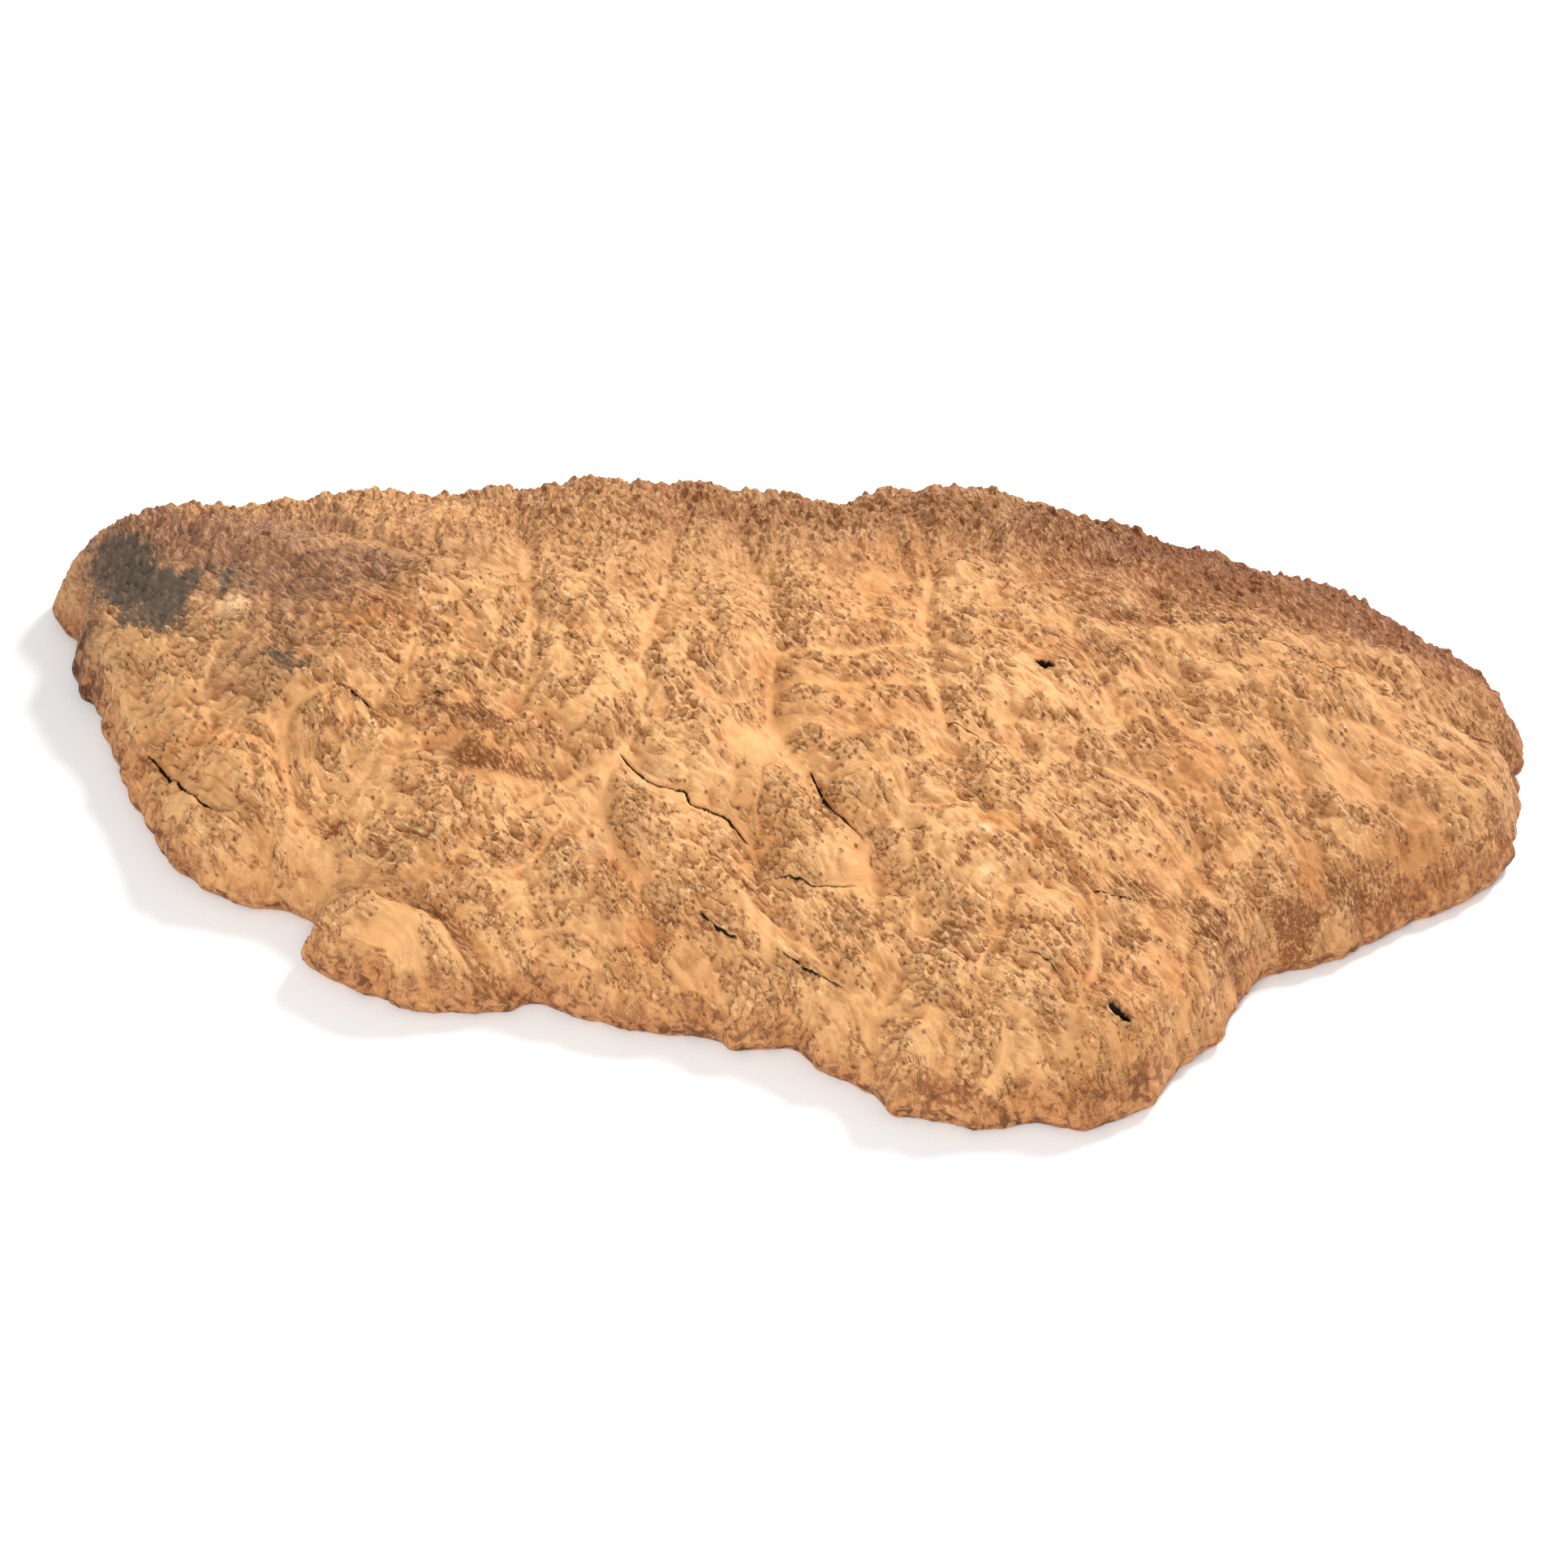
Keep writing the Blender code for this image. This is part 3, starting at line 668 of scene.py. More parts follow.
# %% Relief of the pads, cones and ridges
pads = 0.0012 * (wide - 0.6) + 0.0014 * (narrow - 0.5) * (0.35 + 0.65 * wide)
pads += 0.0026 * (step_up(np.minimum(to_band, to_valley), 0.001, 0.013) - 0.7)
mounds = stamp(PLAN, TIPS, 0.0105, TIP_RISE, lambda r: (1 - r * r) ** 2)
points = stamp(PLAN, TIPS, 0.0060, TIP_RISE, lambda r: (1 - r) ** 1.3)
CONES = np.maximum(BACK, 0.55 * LEFT)
SHAPE = pads * (1 - 0.5 * BACK) * (0.4 + 0.6 * OPEN)
SHAPE += mounds * (0.30 - 0.05 * BACK)
SHAPE += points * (0.05 + 0.26 * CONES)
SHAPE += small_cones(PLAN, 0.0074, 27) * OPEN * (0.0004 + 0.0036 * CONES)
rough = 0.0009 * wave_noise(PLAN, 0.021, 24, 3)
SLANT = along_grain(PLAN, -46, 51)
STEEP = along_grain(PLAN, -80, 61)
ridges = strands(SLANT, 0.0240, 0.0062, 53) * (1 - BACK) + strands(STEEP, 0.0160, 0.0058, 63) * BACK
fine = strands(SLANT, 0.0085, 0.0031, 73) * (1 - BACK) + strands(STEEP, 0.0080, 0.0033, 74) * BACK
CLUSTER = step_up(wave_noise(SLANT / (1.6, 1.0), 0.0105, 81, 2), -0.30, 0.22)
CLUSTER = np.maximum(CLUSTER, 0.85 * PADDED)
WEAVE = 0.45 * ridges + 0.55 * fine
BARED = OPEN * (1 - 0.7 * BANDED)
dimples = 0.0030 * (fine - 0.45) * (0.3 + 0.7 * CLUSTER) * (1 - 0.4 * BACK)
rough += BARED * (0.0018 * (ridges - 0.45) + dimples)
ragged = TO_EDGE + 0.0035 * wave_noise(PLAN, 0.024, 29, 3) + 0.0012 * wave_noise(PLAN, 0.006, 30)
CRUST = (1 - step_up(ragged, 0.0062, 0.0080)) * (1 - BACK)
rough -= 0.0042 * CREASED
rough -= 0.0016 * CRUST - 0.0012 * CRUST * wave_noise(PLAN, 0.007, 34, 2)
SHAPE = (SHAPE + rough) * step_up(TO_EDGE, -0.002, 0.006)
FIELD = (0.30 + 0.70 * narrow) * (0.45 + 0.55 * wide) * OPEN * (1 - BANDED)
FIELD *= 0.25 + 0.75 * np.maximum(CLUSTER, 0.6 * BACK)
FIELD = np.maximum(FIELD, 0.6 * PADDED * (1 - BANDED))
print("pads and cones rise to", round(SHAPE.max() * 1000, 1), "mm")

# %% [markdown]
# ## Knots and cracks
# Two rotten knots left open holes, and drying tore cracks along the grain. Both are real drops in the skin,
# and the finish also paints them near black as painted shade. The crack lines already lie among the plan
# points.

# %% Knots, cracks and the height of the skin
def knot_drop(at):
    """Depth of the two knot holes over the plan."""
    drop = np.zeros(len(at))
    for cx, cy, long_way, short_way, turn in KNOTS:
        along, across = turned(at / MM - (cx, cy), turn)
        away = np.hypot(along / (0.5 * long_way), across / (0.5 * short_way))
        drop = np.maximum(drop, KNOT_DEPTH * (1 - step_up(away, 0.55, 1.08)))
    return drop


KNOT_DROP = knot_drop(PLAN)
HEIGHT = GROUND + SHAPE - CRACK_DROP - KNOT_DROP
HEIGHT += np.interp(TO_EDGE, [0, 0.006], [1, 0]) * 0.0015 * wave_noise(PLAN, 0.013, 26, 2)
HEIGHT = np.maximum(HEIGHT, 0.004)
print("the skin rises to", round(HEIGHT.max() * 1000, 1), "mm, the solid to", round(high[2] * 1000, 1), "mm")

# %% [markdown]
# ## Joining the points
# A constrained triangulation of the plan joins the skin. From the lip, rows of points follow the underside of
# the edge in to the line of the saw, and the sawn face closes the body.

# %% Triangles of the skin, the lip and the sawn face
def skin_triangles():
    loop = [(k, (k + 1) % ROUND) for k in range(ROUND)]
    plan = [tuple(p) for p in PLAN]
    placed, _edges, triangles, *_rest = geometry.delaunay_2d_cdt(plan, loop + CRACK_EDGES, [], 1, 1e-9)
    assert len(placed) == len(PLAN), (len(placed), len(PLAN))
    return np.array(triangles)


SKIN = skin_triangles()
print(len(SKIN), "triangles in the skin")


def lip_rows(rows):
    """Points from the lip down and in to the line of the saw, row by row, the lip itself left out."""
    weights = np.ones(17) / 17
    soft, out = ([np.convolve(np.pad(line[:, k], 8, "wrap"), weights, "valid") for k in (0, 1)]
                 for line in (RING, RING_OUT))
    sawn = np.column_stack(soft) - np.column_stack(out) * UNDERCUT
    lip_z = HEIGHT[:ROUND]
    points = []
    for row in range(1, rows + 1):
        t = row / rows
        inward = 1 - math.cos(t * math.pi / 2) ** 0.9
        flat = RING + (sawn - RING) * inward
        wobble = 0.0007 * math.sin(math.pi * t) * wave_noise(RING * 3 + 5 * t, 0.012, 61, 2)
        flat = flat + RING_OUT * wobble[:, None]
        points.append(np.column_stack([flat, lip_z * (1 - math.sin(t * math.pi / 2) ** 1.2)]))
    points[-1][:, 2] = 0
    return np.vstack(points)


LIP_ROWS = 8
WALL = lip_rows(LIP_ROWS)


def wall_triangles():
    """Triangles between the lip and the rows below it, wound to face outward."""
    first = [0] + [len(PLAN) + row * ROUND for row in range(LIP_ROWS)]
    k = np.arange(ROUND)
    after = (k + 1) % ROUND
    faces = []
    for upper, lower in zip(first[:-1], first[1:]):
        faces.append(np.column_stack([upper + after, upper + k, lower + k]))
        faces.append(np.column_stack([upper + after, lower + k, lower + after]))
    return np.vstack(faces)


WALL_FACES = wall_triangles()
print(len(WALL_FACES), "triangles under the lip")

# %% One working mesh
def in_scene(name, data):
    """A new object at the origin that shows this mesh, lamp or camera."""
    thing = bpy.data.objects.new(name, data)
    bpy.context.scene.collection.objects.link(thing)
    return thing


def mesh_from(name, points, faces):
    data = bpy.data.meshes.new(name)
    data.vertices.add(len(points))
    data.vertices.foreach_set("co", np.asarray(points, np.float32).ravel())
    data.loops.add(3 * len(faces))
    data.loops.foreach_set("vertex_index", np.asarray(faces, np.int32).ravel())
    data.polygons.add(len(faces))
    data.polygons.foreach_set("loop_start", np.arange(0, 3 * len(faces), 3, dtype=np.int32))
    data.update(calc_edges=True)
    data.polygons.foreach_set("use_smooth", np.ones(len(faces), bool))
    return data


def set_values(data, name, values):
    """Store one number or one vector per vertex under a name."""
    kind = "FLOAT" if values.ndim == 1 else "FLOAT_VECTOR"
    layer = data.attributes.new(name, kind, "POINT")
    layer.data.foreach_set("value" if values.ndim == 1 else "vector", np.asarray(values, np.float32).ravel())


def get_values(data, name, size=1):
    layer = data.attributes[name]
    out = np.empty(len(data.vertices) * size, np.float32)
    layer.data.foreach_get("value" if size == 1 else "vector", out)
    return out if size == 1 else out.reshape(-1, size)


skin_points = np.vstack([np.column_stack([PLAN - MIDDLE, HEIGHT]), WALL - [*MIDDLE, 0]])
skin_faces = np.vstack([SKIN, WALL_FACES])
working = mesh_from("burl skin, working", skin_points, skin_faces)
share = np.concatenate([step_up(FIELD, 0.12, 0.36) * step_up(TO_EDGE, 0.0005, 0.003), np.zeros(len(WALL))])
share[:len(PLAN)] *= (1 - step_up(CRACK_DROP + KNOT_DROP, 0, 0.002)) * (1 - 0.45 * LEFT) * (1 - 0.5 * BACK)
tall = 0.0007 + 0.0010 * CONES + 0.0002 * RIGHT
set_values(working, "eye_share", np.clip(share, 0, 1))
set_values(working, "eye_height", np.concatenate([tall * step_up(TO_EDGE, 0, 0.006), np.zeros(len(WALL))]))
print(len(skin_points), "points and", len(skin_faces), "triangles in the working mesh")

# %% [markdown]
# ## The eyes
# Every eye is a bud that stayed asleep: the grain bends round it, a small cone stands over it and its middle
# dried to a pit. There are thousands of them, so Geometry Nodes sets them: points spread over the pads with
# a least distance between them, and each point of the skin rises by how near its nearest eye is. The way to
# that eye is stored, because the finish draws the pits and the grain round them finer than the mesh.

# %% The node tree of the eyes
PIT_RADIUS = 0.0011


def join(tree, start, end):
    tree.links.new(start, end)


def feed(tree, socket, value):
    """Link a socket into an input, or set the input to a value."""
    if isinstance(value, bpy.types.NodeSocket):
        tree.links.new(value, socket)
    else:
        socket.default_value = value


def maths(tree, operation, *values, clamp=False):
    node = tree.nodes.new("ShaderNodeMath")
    node.operation = operation
    node.use_clamp = clamp
    for socket, value in zip(node.inputs, values):
        feed(tree, socket, value)
    return node.outputs[0]


def vectors(tree, operation, *values):
    node = tree.nodes.new("ShaderNodeVectorMath")
    node.operation = operation
    slots = node.inputs
    for k, value in enumerate(values):
        feed(tree, slots["Scale"] if operation == "SCALE" and k == 1 else slots[k], value)
    return node.outputs["Value" if operation in ("LENGTH", "DISTANCE", "DOT_PRODUCT") else "Vector"]


def named(tree, name, kind="FLOAT"):
    node = tree.nodes.new("GeometryNodeInputNamedAttribute")
    node.data_type = kind
    node.inputs["Name"].default_value = name
    return node.outputs["Attribute"]


def store(tree, shape, name, value, kind="FLOAT"):
    node = tree.nodes.new("GeometryNodeStoreNamedAttribute")
    node.data_type = kind
    node.domain = "POINT"
    node.inputs["Name"].default_value = name
    join(tree, shape, node.inputs["Geometry"])
    join(tree, value, node.inputs["Value"])
    return node.outputs["Geometry"]


def sample(tree, points, value, index, kind):
    node = tree.nodes.new("GeometryNodeSampleIndex")
    node.data_type = kind
    node.domain = "POINT"
    join(tree, points, node.inputs["Geometry"])
    join(tree, value, node.inputs["Value"])
    join(tree, index, node.inputs["Index"])
    return node.outputs["Value"]


def eye_tree():
    tree = bpy.data.node_groups.new("burl eyes", "GeometryNodeTree")
    face = tree.interface
    face.new_socket("Geometry", in_out="INPUT", socket_type="NodeSocketGeometry")
    for name, value in (("Spacing", 0.0036), ("Reach", 0.0024), ("Sharpness", 1.5), ("Pit Depth", 0.0004)):
        face.new_socket(name, in_out="INPUT", socket_type="NodeSocketFloat").default_value = value
    face.new_socket("Seed", in_out="INPUT", socket_type="NodeSocketInt").default_value = 4
    face.new_socket("Wood", in_out="INPUT", socket_type="NodeSocketMaterial")
    face.new_socket("Geometry", in_out="OUTPUT", socket_type="NodeSocketGeometry")
    given = tree.nodes.new("NodeGroupInput").outputs
    done = tree.nodes.new("NodeGroupOutput").inputs

    spread = tree.nodes.new("GeometryNodeDistributePointsOnFaces")
    spread.distribute_method = "POISSON"
    join(tree, given["Geometry"], spread.inputs["Mesh"])
    join(tree, given["Spacing"], spread.inputs["Distance Min"])
    square = maths(tree, "MULTIPLY", given["Spacing"], given["Spacing"])
    join(tree, maths(tree, "DIVIDE", 2.0, square), spread.inputs["Density Max"])
    join(tree, named(tree, "eye_share"), spread.inputs["Density Factor"])
    join(tree, given["Seed"], spread.inputs["Seed"])
    eyes = spread.outputs["Points"]

    here = tree.nodes.new("GeometryNodeInputPosition").outputs["Position"]
    nearest = tree.nodes.new("GeometryNodeSampleNearest")
    nearest.domain = "POINT"
    join(tree, eyes, nearest.inputs["Geometry"])
    index = nearest.outputs["Index"]
    chance = tree.nodes.new("FunctionNodeRandomValue")
    chance.data_type = "FLOAT"
    join(tree, given["Seed"], chance.inputs["Seed"])
    luck = sample(tree, eyes, chance.outputs[1], index, "FLOAT")
    to_eye = vectors(tree, "SUBTRACT", here, sample(tree, eyes, here, index, "FLOAT_VECTOR"))
    away = vectors(tree, "LENGTH", to_eye)

    near = maths(tree, "SUBTRACT", 1.0, maths(tree, "DIVIDE", away, given["Reach"]), clamp=True)
    cone = maths(tree, "MULTIPLY", maths(tree, "POWER", near, given["Sharpness"]), named(tree, "eye_height"))
    middle = maths(tree, "SUBTRACT", 1.0, maths(tree, "DIVIDE", away, PIT_RADIUS), clamp=True)
    pit = maths(tree, "MULTIPLY", middle, given["Pit Depth"])
    rise = maths(tree, "SUBTRACT", cone, pit)
    normal = tree.nodes.new("GeometryNodeInputNormal").outputs["Normal"]

    shape = store(tree, given["Geometry"], "to_eye", to_eye, "FLOAT_VECTOR")
    shape = store(tree, shape, "eye_away", away)
    shape = store(tree, shape, "eye_luck", luck)
    move = tree.nodes.new("GeometryNodeSetPosition")
    join(tree, shape, move.inputs["Geometry"])
    join(tree, vectors(tree, "SCALE", normal, rise), move.inputs["Offset"])
    real = tree.nodes.new("GeometryNodeRealizeInstances")
    join(tree, move.outputs["Geometry"], real.inputs["Geometry"])
    wood = tree.nodes.new("GeometryNodeSetMaterial")
    join(tree, real.outputs["Geometry"], wood.inputs["Geometry"])
    join(tree, given["Wood"], wood.inputs["Material"])
    join(tree, wood.outputs["Geometry"], done["Geometry"])
    return tree


def with_nodes(data, tree, values):
    """The mesh that a node tree makes of a given mesh; the object that carried the tree is removed."""
    carrier = in_scene("carrier", data)
    modifier = carrier.modifiers.new("tree", "NODES")
    modifier.node_group = tree
    for item in tree.interface.items_tree:
        if item.in_out == "INPUT" and item.name in values:
            modifier[item.identifier] = values[item.name]
    graph = bpy.context.evaluated_depsgraph_get()
    made = bpy.data.meshes.new_from_object(carrier.evaluated_get(graph), preserve_all_data_layers=True,
                                           depsgraph=graph)
    bpy.data.objects.remove(carrier)
    return made


WOOD = bpy.data.materials.new("burl wood")
made = with_nodes(working, eye_tree(), {"Wood": WOOD, "Spacing": 0.0034, "Seed": 4})
FINAL = np.empty(3 * len(made.vertices), np.float32)
made.vertices.foreach_get("co", FINAL)
FINAL = FINAL.reshape(-1, 3)
TO_EYE = get_values(made, "to_eye", 3)
EYE_AWAY = get_values(made, "eye_away")
EYE_LUCK = get_values(made, "eye_luck")
assert len(FINAL) == len(skin_points)
FINAL[-ROUND:, 2] = 0
print("about", len(np.unique(EYE_LUCK.round(6))), "eyes")
print("the cap is", round(float(FINAL[:, 2].max()) * 1000, 1), "mm high")

# %% [markdown]
# ## Where the colours lie
# The colours follow the wood's history, and some are painted shade. Bands of straight grain are pale wood,
# mixed a little darker as painted shade; pads turn orange with weather; the back is browner, and painted
# shade darkens it further, most at the right; the crust along the rim keeps the reddish layer under the bark,
# and the rim turns reddish towards the lip; damp left a grey stain at the left end. Painted shade also
# darkens the low places, the fold behind the front knob and the step at the inner border of the crust.
# Each of these is a soft mask over the plan, drawn from a few blobs and random waves and kept on the points.

# %% Spots of colour
# Each spot: its centre and two radii in millimetres, its turn in degrees and its strength
STAIN_SPOTS = [
    (-388, 132, 50, 23, -58, 1.35), (-327, 109, 14, 10, -40, 0.8), (-392, 176, 40, 13, -12, 0.45),
    (-356, 122, 22, 12, 0, 0.45), (-296, 36, 18, 9, -55, 0.5), (-284, 22, 10, 5, -30, 0.4),
]
# Places inside the stain that stayed clean
CLEAN_SPOTS = [(-364, 141, 9, 8, 0, 1), (-327, 143, 9, 8, 0, 1), (-328, 92, 8, 7, 0, 1.6)]
HALO_SPOTS = [
    (-346, 140, 84, 52, -20, 1.0), (-400, 186, 50, 26, -20, 0.7), (-262, 100, 56, 36, -10, 0.75),
    (-300, 46, 40, 30, 0, 0.55), (-300, 178, 80, 34, 0, 0.5), (-215, 118, 60, 30, 0, 0.4),
]
BROWN_SPOTS = [
    (-229, -15, 14, 5, -40, 0.6), (-185, -21, 20, 8, -10, 0.85), (-166, -29, 14, 6, -20, 0.7),
    (-178, -53, 22, 7, -18, 0.75), (-145, -65, 26, 7, -8, 0.75), (-238, 68, 26, 9, -30, 0.5),
    (-11, 31, 9, 4, -20, 1.0), (108, -151, 6, 4, 0, 0.9), (98, -192, 15, 6, -25, 0.85),
    (31, -188, 8, 4, -20, 0.6), (153, -243, 8, 5, -30, 0.6), (250, -166, 22, 18, 0, 0.6),
    (344, -114, 36, 13, 20, 0.6), (300, -142, 14, 10, 0, 0.9), (421, -59, 14, 22, -30, 0.7),
    (204, -151, 22, 8, -20, 0.7), (252, 187, 42, 26, -30, 0.4), (273, 47, 13, 6, 0, 0.8),
    (317, 88, 52, 10, -8, 0.5), (205, 48, 24, 15, 0, 0.45), (189, 12, 34, 13, 0, 0.4),
    (250, 60, 70, 50, 0, 0.25), (300, 115, 110, 50, -20, 0.35), (160, 120, 50, 50, 0, 0.2),
    (440, 15, 14, 40, 0, 0.5), (-225, -100, 14, 6, -40, 0.6), (-255, -77, 12, 6, -30, 0.6),
    (-275, -55, 12, 7, 0, 0.3), (-219, -118, 22, 7, -10, 0.35),
    (-42, -149, 7, 4, 0, 0.6), (-37, -172, 10, 6, 0, 0.35), (158, -2, 12, 9, 0, 0.6),
    (101, -268, 22, 4, -8, 0.9), (-232, -176, 22, 4, -20, 0.35), (45, -116, 5, 3, 0, 0.3),
]
ORANGE_SPOTS = [
    (-165, -47, 50, 26, -10, 0.7), (-88, -134, 12, 18, 20, 0.7), (-74, -171, 14, 15, 0, 0.8),
    (56, -134, 10, 10, 0, 0.6), (-1, -8, 12, 20, 0, 0.5), (123, -195, 9, 12, 0, 0.7),
    (178, -226, 10, 10, 0, 0.7), (225, -199, 12, 14, 0, 0.7), (305, -115, 11, 22, 0, 0.9),
    (374, -92, 30, 13, 10, 0.8), (127, -119, 14, 7, -40, 0.9), (158, -145, 22, 8, -38, 0.9),
    (178, -172, 8, 18, 8, 0.6), (150, 10, 34, 10, 0, 0.6), (-260, 60, 50, 20, 0, 0.4),
    (270, -50, 40, 30, 0, 0.3), (-240, 20, 60, 30, 0, 0.25), (60, 0, 40, 40, 0, 0.2),
]
PALE_SPOTS = [
    (-328, 92, 7.5, 6.5, 0, 3.0), (-75, -80, 12, 9, -30, 0.5), (-40, -2, 8, 5, 0, 0.5),
    (120, -133, 4, 3, 0, 1.2), (119, -161, 4, 4, 0, 1.2), (-192, -48, 6, 6, 0, 0.4),
    (-100, -120, 9, 7, -30, 0.4), (208, 60, 8, 6, 0, 0.3),
]
BARK_SPOTS = [
    (-430, 110, 17, 30, 8, 1.3), (-53, 280, 13, 7, 0, 1.2), (37, 262, 14, 6, 0, 1.0),
    (190, -241, 8, 4, -25, 1.1), (-196, -7, 3.5, 1.6, -35, 1.2), (205, 256, 14, 8, -20, 0.4),
    (236, 232, 18, 8, -30, 0.4),
]

# %% Masks over the plan
def blobs(at, spots, warp=0.010):
    """Sum of soft uneven ellipses over the plan, one for each spot."""
    bent = at + warp * bend(at, 0.030, (41, 42), 3)
    total = np.zeros(len(at))
    for cx, cy, rx, ry, turn, strength in spots:
        along, across = turned(bent / MM - (cx, cy), turn)
        total += strength * np.exp(-((along / rx) ** 2 + (across / ry) ** 2) ** 1.3)
    return total


def masks(at, to_edge):
    """The named masks of the finish, each from 0 to 1."""
    x, y = at.T
    uneven = wave_noise(at, 0.060, 43, 4)
    speck = wave_noise(at, 0.012, 44, 3)
    out = {}
    out["stain"] = blobs(at, STAIN_SPOTS, 0.012)
    out["stain"] -= 1.2 * blobs(at, CLEAN_SPOTS, 0.004)
    out["halo"] = blobs(at, HALO_SPOTS, 0.020) * (1 - blobs(at, [(-328, 92, 8, 7, 0, 1)], 0.003))
    # Browner wood from spots and random waves, with painted shade at the back, most at the right.
    out["brown_and_shade"] = (0.62 * BACK * step_up(x, 0.10, 0.28) + 0.26 * BACK + 0.10 * BACK * step_up(-x, 0.20, 0.42)
                    + 0.16 * uneven + blobs(at, BROWN_SPOTS, 0.007))
    out["orange"] = step_up(uneven + 0.3 * speck, -0.10, 0.80) * 0.7 + blobs(at, ORANGE_SPOTS)
    out["pale"] = blobs(at, PALE_SPOTS, 0.0015) * np.clip(1.0 + 0.4 * speck, 0, 1)
    flake = wave_noise(at, 0.010, 45, 2)
    patchy = step_up(wave_noise(at, 0.075, 47, 2), -0.25, 0.30) * 0.65
    patchy += blobs(at, [(135, -268, 80, 22, 0, 0.8)])
    out["rim"] = np.clip(0.9 * CRUST * patchy + np.interp(to_edge, [0, 0.006], [0.7, 0]), 0, 1)
    out["rim"] *= 0.8 + 0.4 * flake
    # Painted shade: a dark thin line at the step along the inner border of the crust.
    crease_shade = bell((ragged - 0.0078) / 0.0009) * (1 - BACK) * np.clip(0.5 + flake, 0, 1)
    out["brown_and_shade"] = out["brown_and_shade"] + 0.7 * crease_shade + 0.35 * CRUST * np.clip(uneven + 0.8 * speck, 0, 1)
    # Painted shade in the fold behind the front knob.
    out["brown_and_shade"] += 0.65 * CREASED ** 2
    out["bark"] = blobs(at, BARK_SPOTS, 0.004) * (0.8 + 0.6 * speck)
    return {name: np.clip(value, 0, 1) for name, value in out.items()}


PAINT = masks(PLAN, TO_EDGE)
PAINT["band"] = np.maximum(BANDED, 1 - OPEN) * (1 - 0.6 * BACK)
PAINT["field"] = BARED * (0.35 + 0.65 * np.maximum(CLUSTER, BACK))
PAINT["field"] *= 0.6 + 0.4 * step_up(TO_EDGE, 0.002, 0.013)
PAINT["back"] = BACK
# Painted shade: near black down in the cracks and the knot holes.
PAINT["crack"] = step_up(CRACK_DROP, 0.0002, 0.0035) + step_up(KNOT_DROP, 0.0006, 0.006)
# Painted shade: darker in the low places and between the ridges of the eye fields.
low_part = 0.5 * (1 - 1.6 * np.clip(SHAPE / 0.004, -0.6, 1.0))
# Painted shade: darker towards the back and towards the right end.
PAINT["back_right_shade"] = (0.14 * BACK + 0.32 * BACK * step_up(PLAN[:, 0], -0.30, 0.02)
                 + 0.14 * step_up(PLAN[:, 0], 0.08, 0.26) + 0.09 * step_up(PLAN[:, 0], 0.28, 0.40))
PAINT["hollow_shade"] = np.clip(0.6 * low_part + 1.1 * (0.5 - WEAVE), 0, 1) * OPEN * (1 - 0.7 * BANDED)
PAINT["relief"] = np.minimum(to_band, to_valley) * 1000 + 1.2 * wave_noise(PLAN, 0.018, 46, 2)
PAINT["slant"] = np.column_stack([SLANT, 0 * TO_EDGE])
PAINT["steep"] = np.column_stack([STEEP, 0 * TO_EDGE])
for name, value in PAINT.items():
    lip_value = np.tile(value[:ROUND], (LIP_ROWS,) if value.ndim == 1 else (LIP_ROWS, 1))
    if name == "rim":
        lip_value = np.full(len(lip_value), 1.0)
    PAINT[name] = np.concatenate([value, lip_value])
print("masks:", ", ".join(f"{name} {value.mean():.2f}" for name, value in PAINT.items()))

# %% [markdown]
# ## Pieces of the skin
# One mesh of this fineness is too heavy to hand on, so it is dealt out in sections that meet point on point.
# Each section gets the normals of the whole, so no seam shows.

# %% Sections of the skin
def whole_normals(points, faces):
    a, b, c = points[faces[:, 0]], points[faces[:, 1]], points[faces[:, 2]]
    cross = np.cross(b - a, c - a)
    total = np.zeros_like(points, dtype=float)
    for corner in range(3):
        for axis in range(3):
            total[:, axis] += np.bincount(faces[:, corner], cross[:, axis], len(points))
    return total / np.maximum(np.linalg.norm(total, axis=1), 1e-12)[:, None]


def wound_outward(points, faces, up):
    """Turn over the triangles of a height field that face down."""
    a, b, c = (points[faces[:, k], :2] for k in range(3))
    turn = (b[:, 0] - a[:, 0]) * (c[:, 1] - a[:, 1]) - (b[:, 1] - a[:, 1]) * (c[:, 0] - a[:, 0])
    wrong = (turn > 0) != up
    faces[wrong] = faces[wrong][:, ::-1]
    return faces


SKIN = wound_outward(skin_points, SKIN, True)
skin_faces = np.vstack([SKIN, WALL_FACES])
NORMALS = whole_normals(FINAL, skin_faces)


def section(name, faces, material, unwrap=True):
    """A piece of the skin made of some of the triangles, with masks, normals and a plan map."""
    used, local = np.unique(faces, return_inverse=True)
    data = mesh_from(name, FINAL[used], local.reshape(-1, 3))
    set_values(data, "to_eye", TO_EYE[used])
    set_values(data, "eye_away", EYE_AWAY[used])
    set_values(data, "eye_luck", EYE_LUCK[used])
    for key, value in PAINT.items():
        set_values(data, key, value[used])
    data.normals_split_custom_set_from_vertices(NORMALS[used])
    if unwrap:
        corners = FINAL[faces.ravel(), :2]
        start = corners.min(axis=0) - 0.002
        span = (corners.max(axis=0) - start).max() + 0.002
        layer = data.uv_layers.new(name="OFBake")
        layer.data.foreach_set("uv", ((corners - start) / span).astype(np.float32).ravel())
    data.materials.append(material)
    return in_scene(name, data)


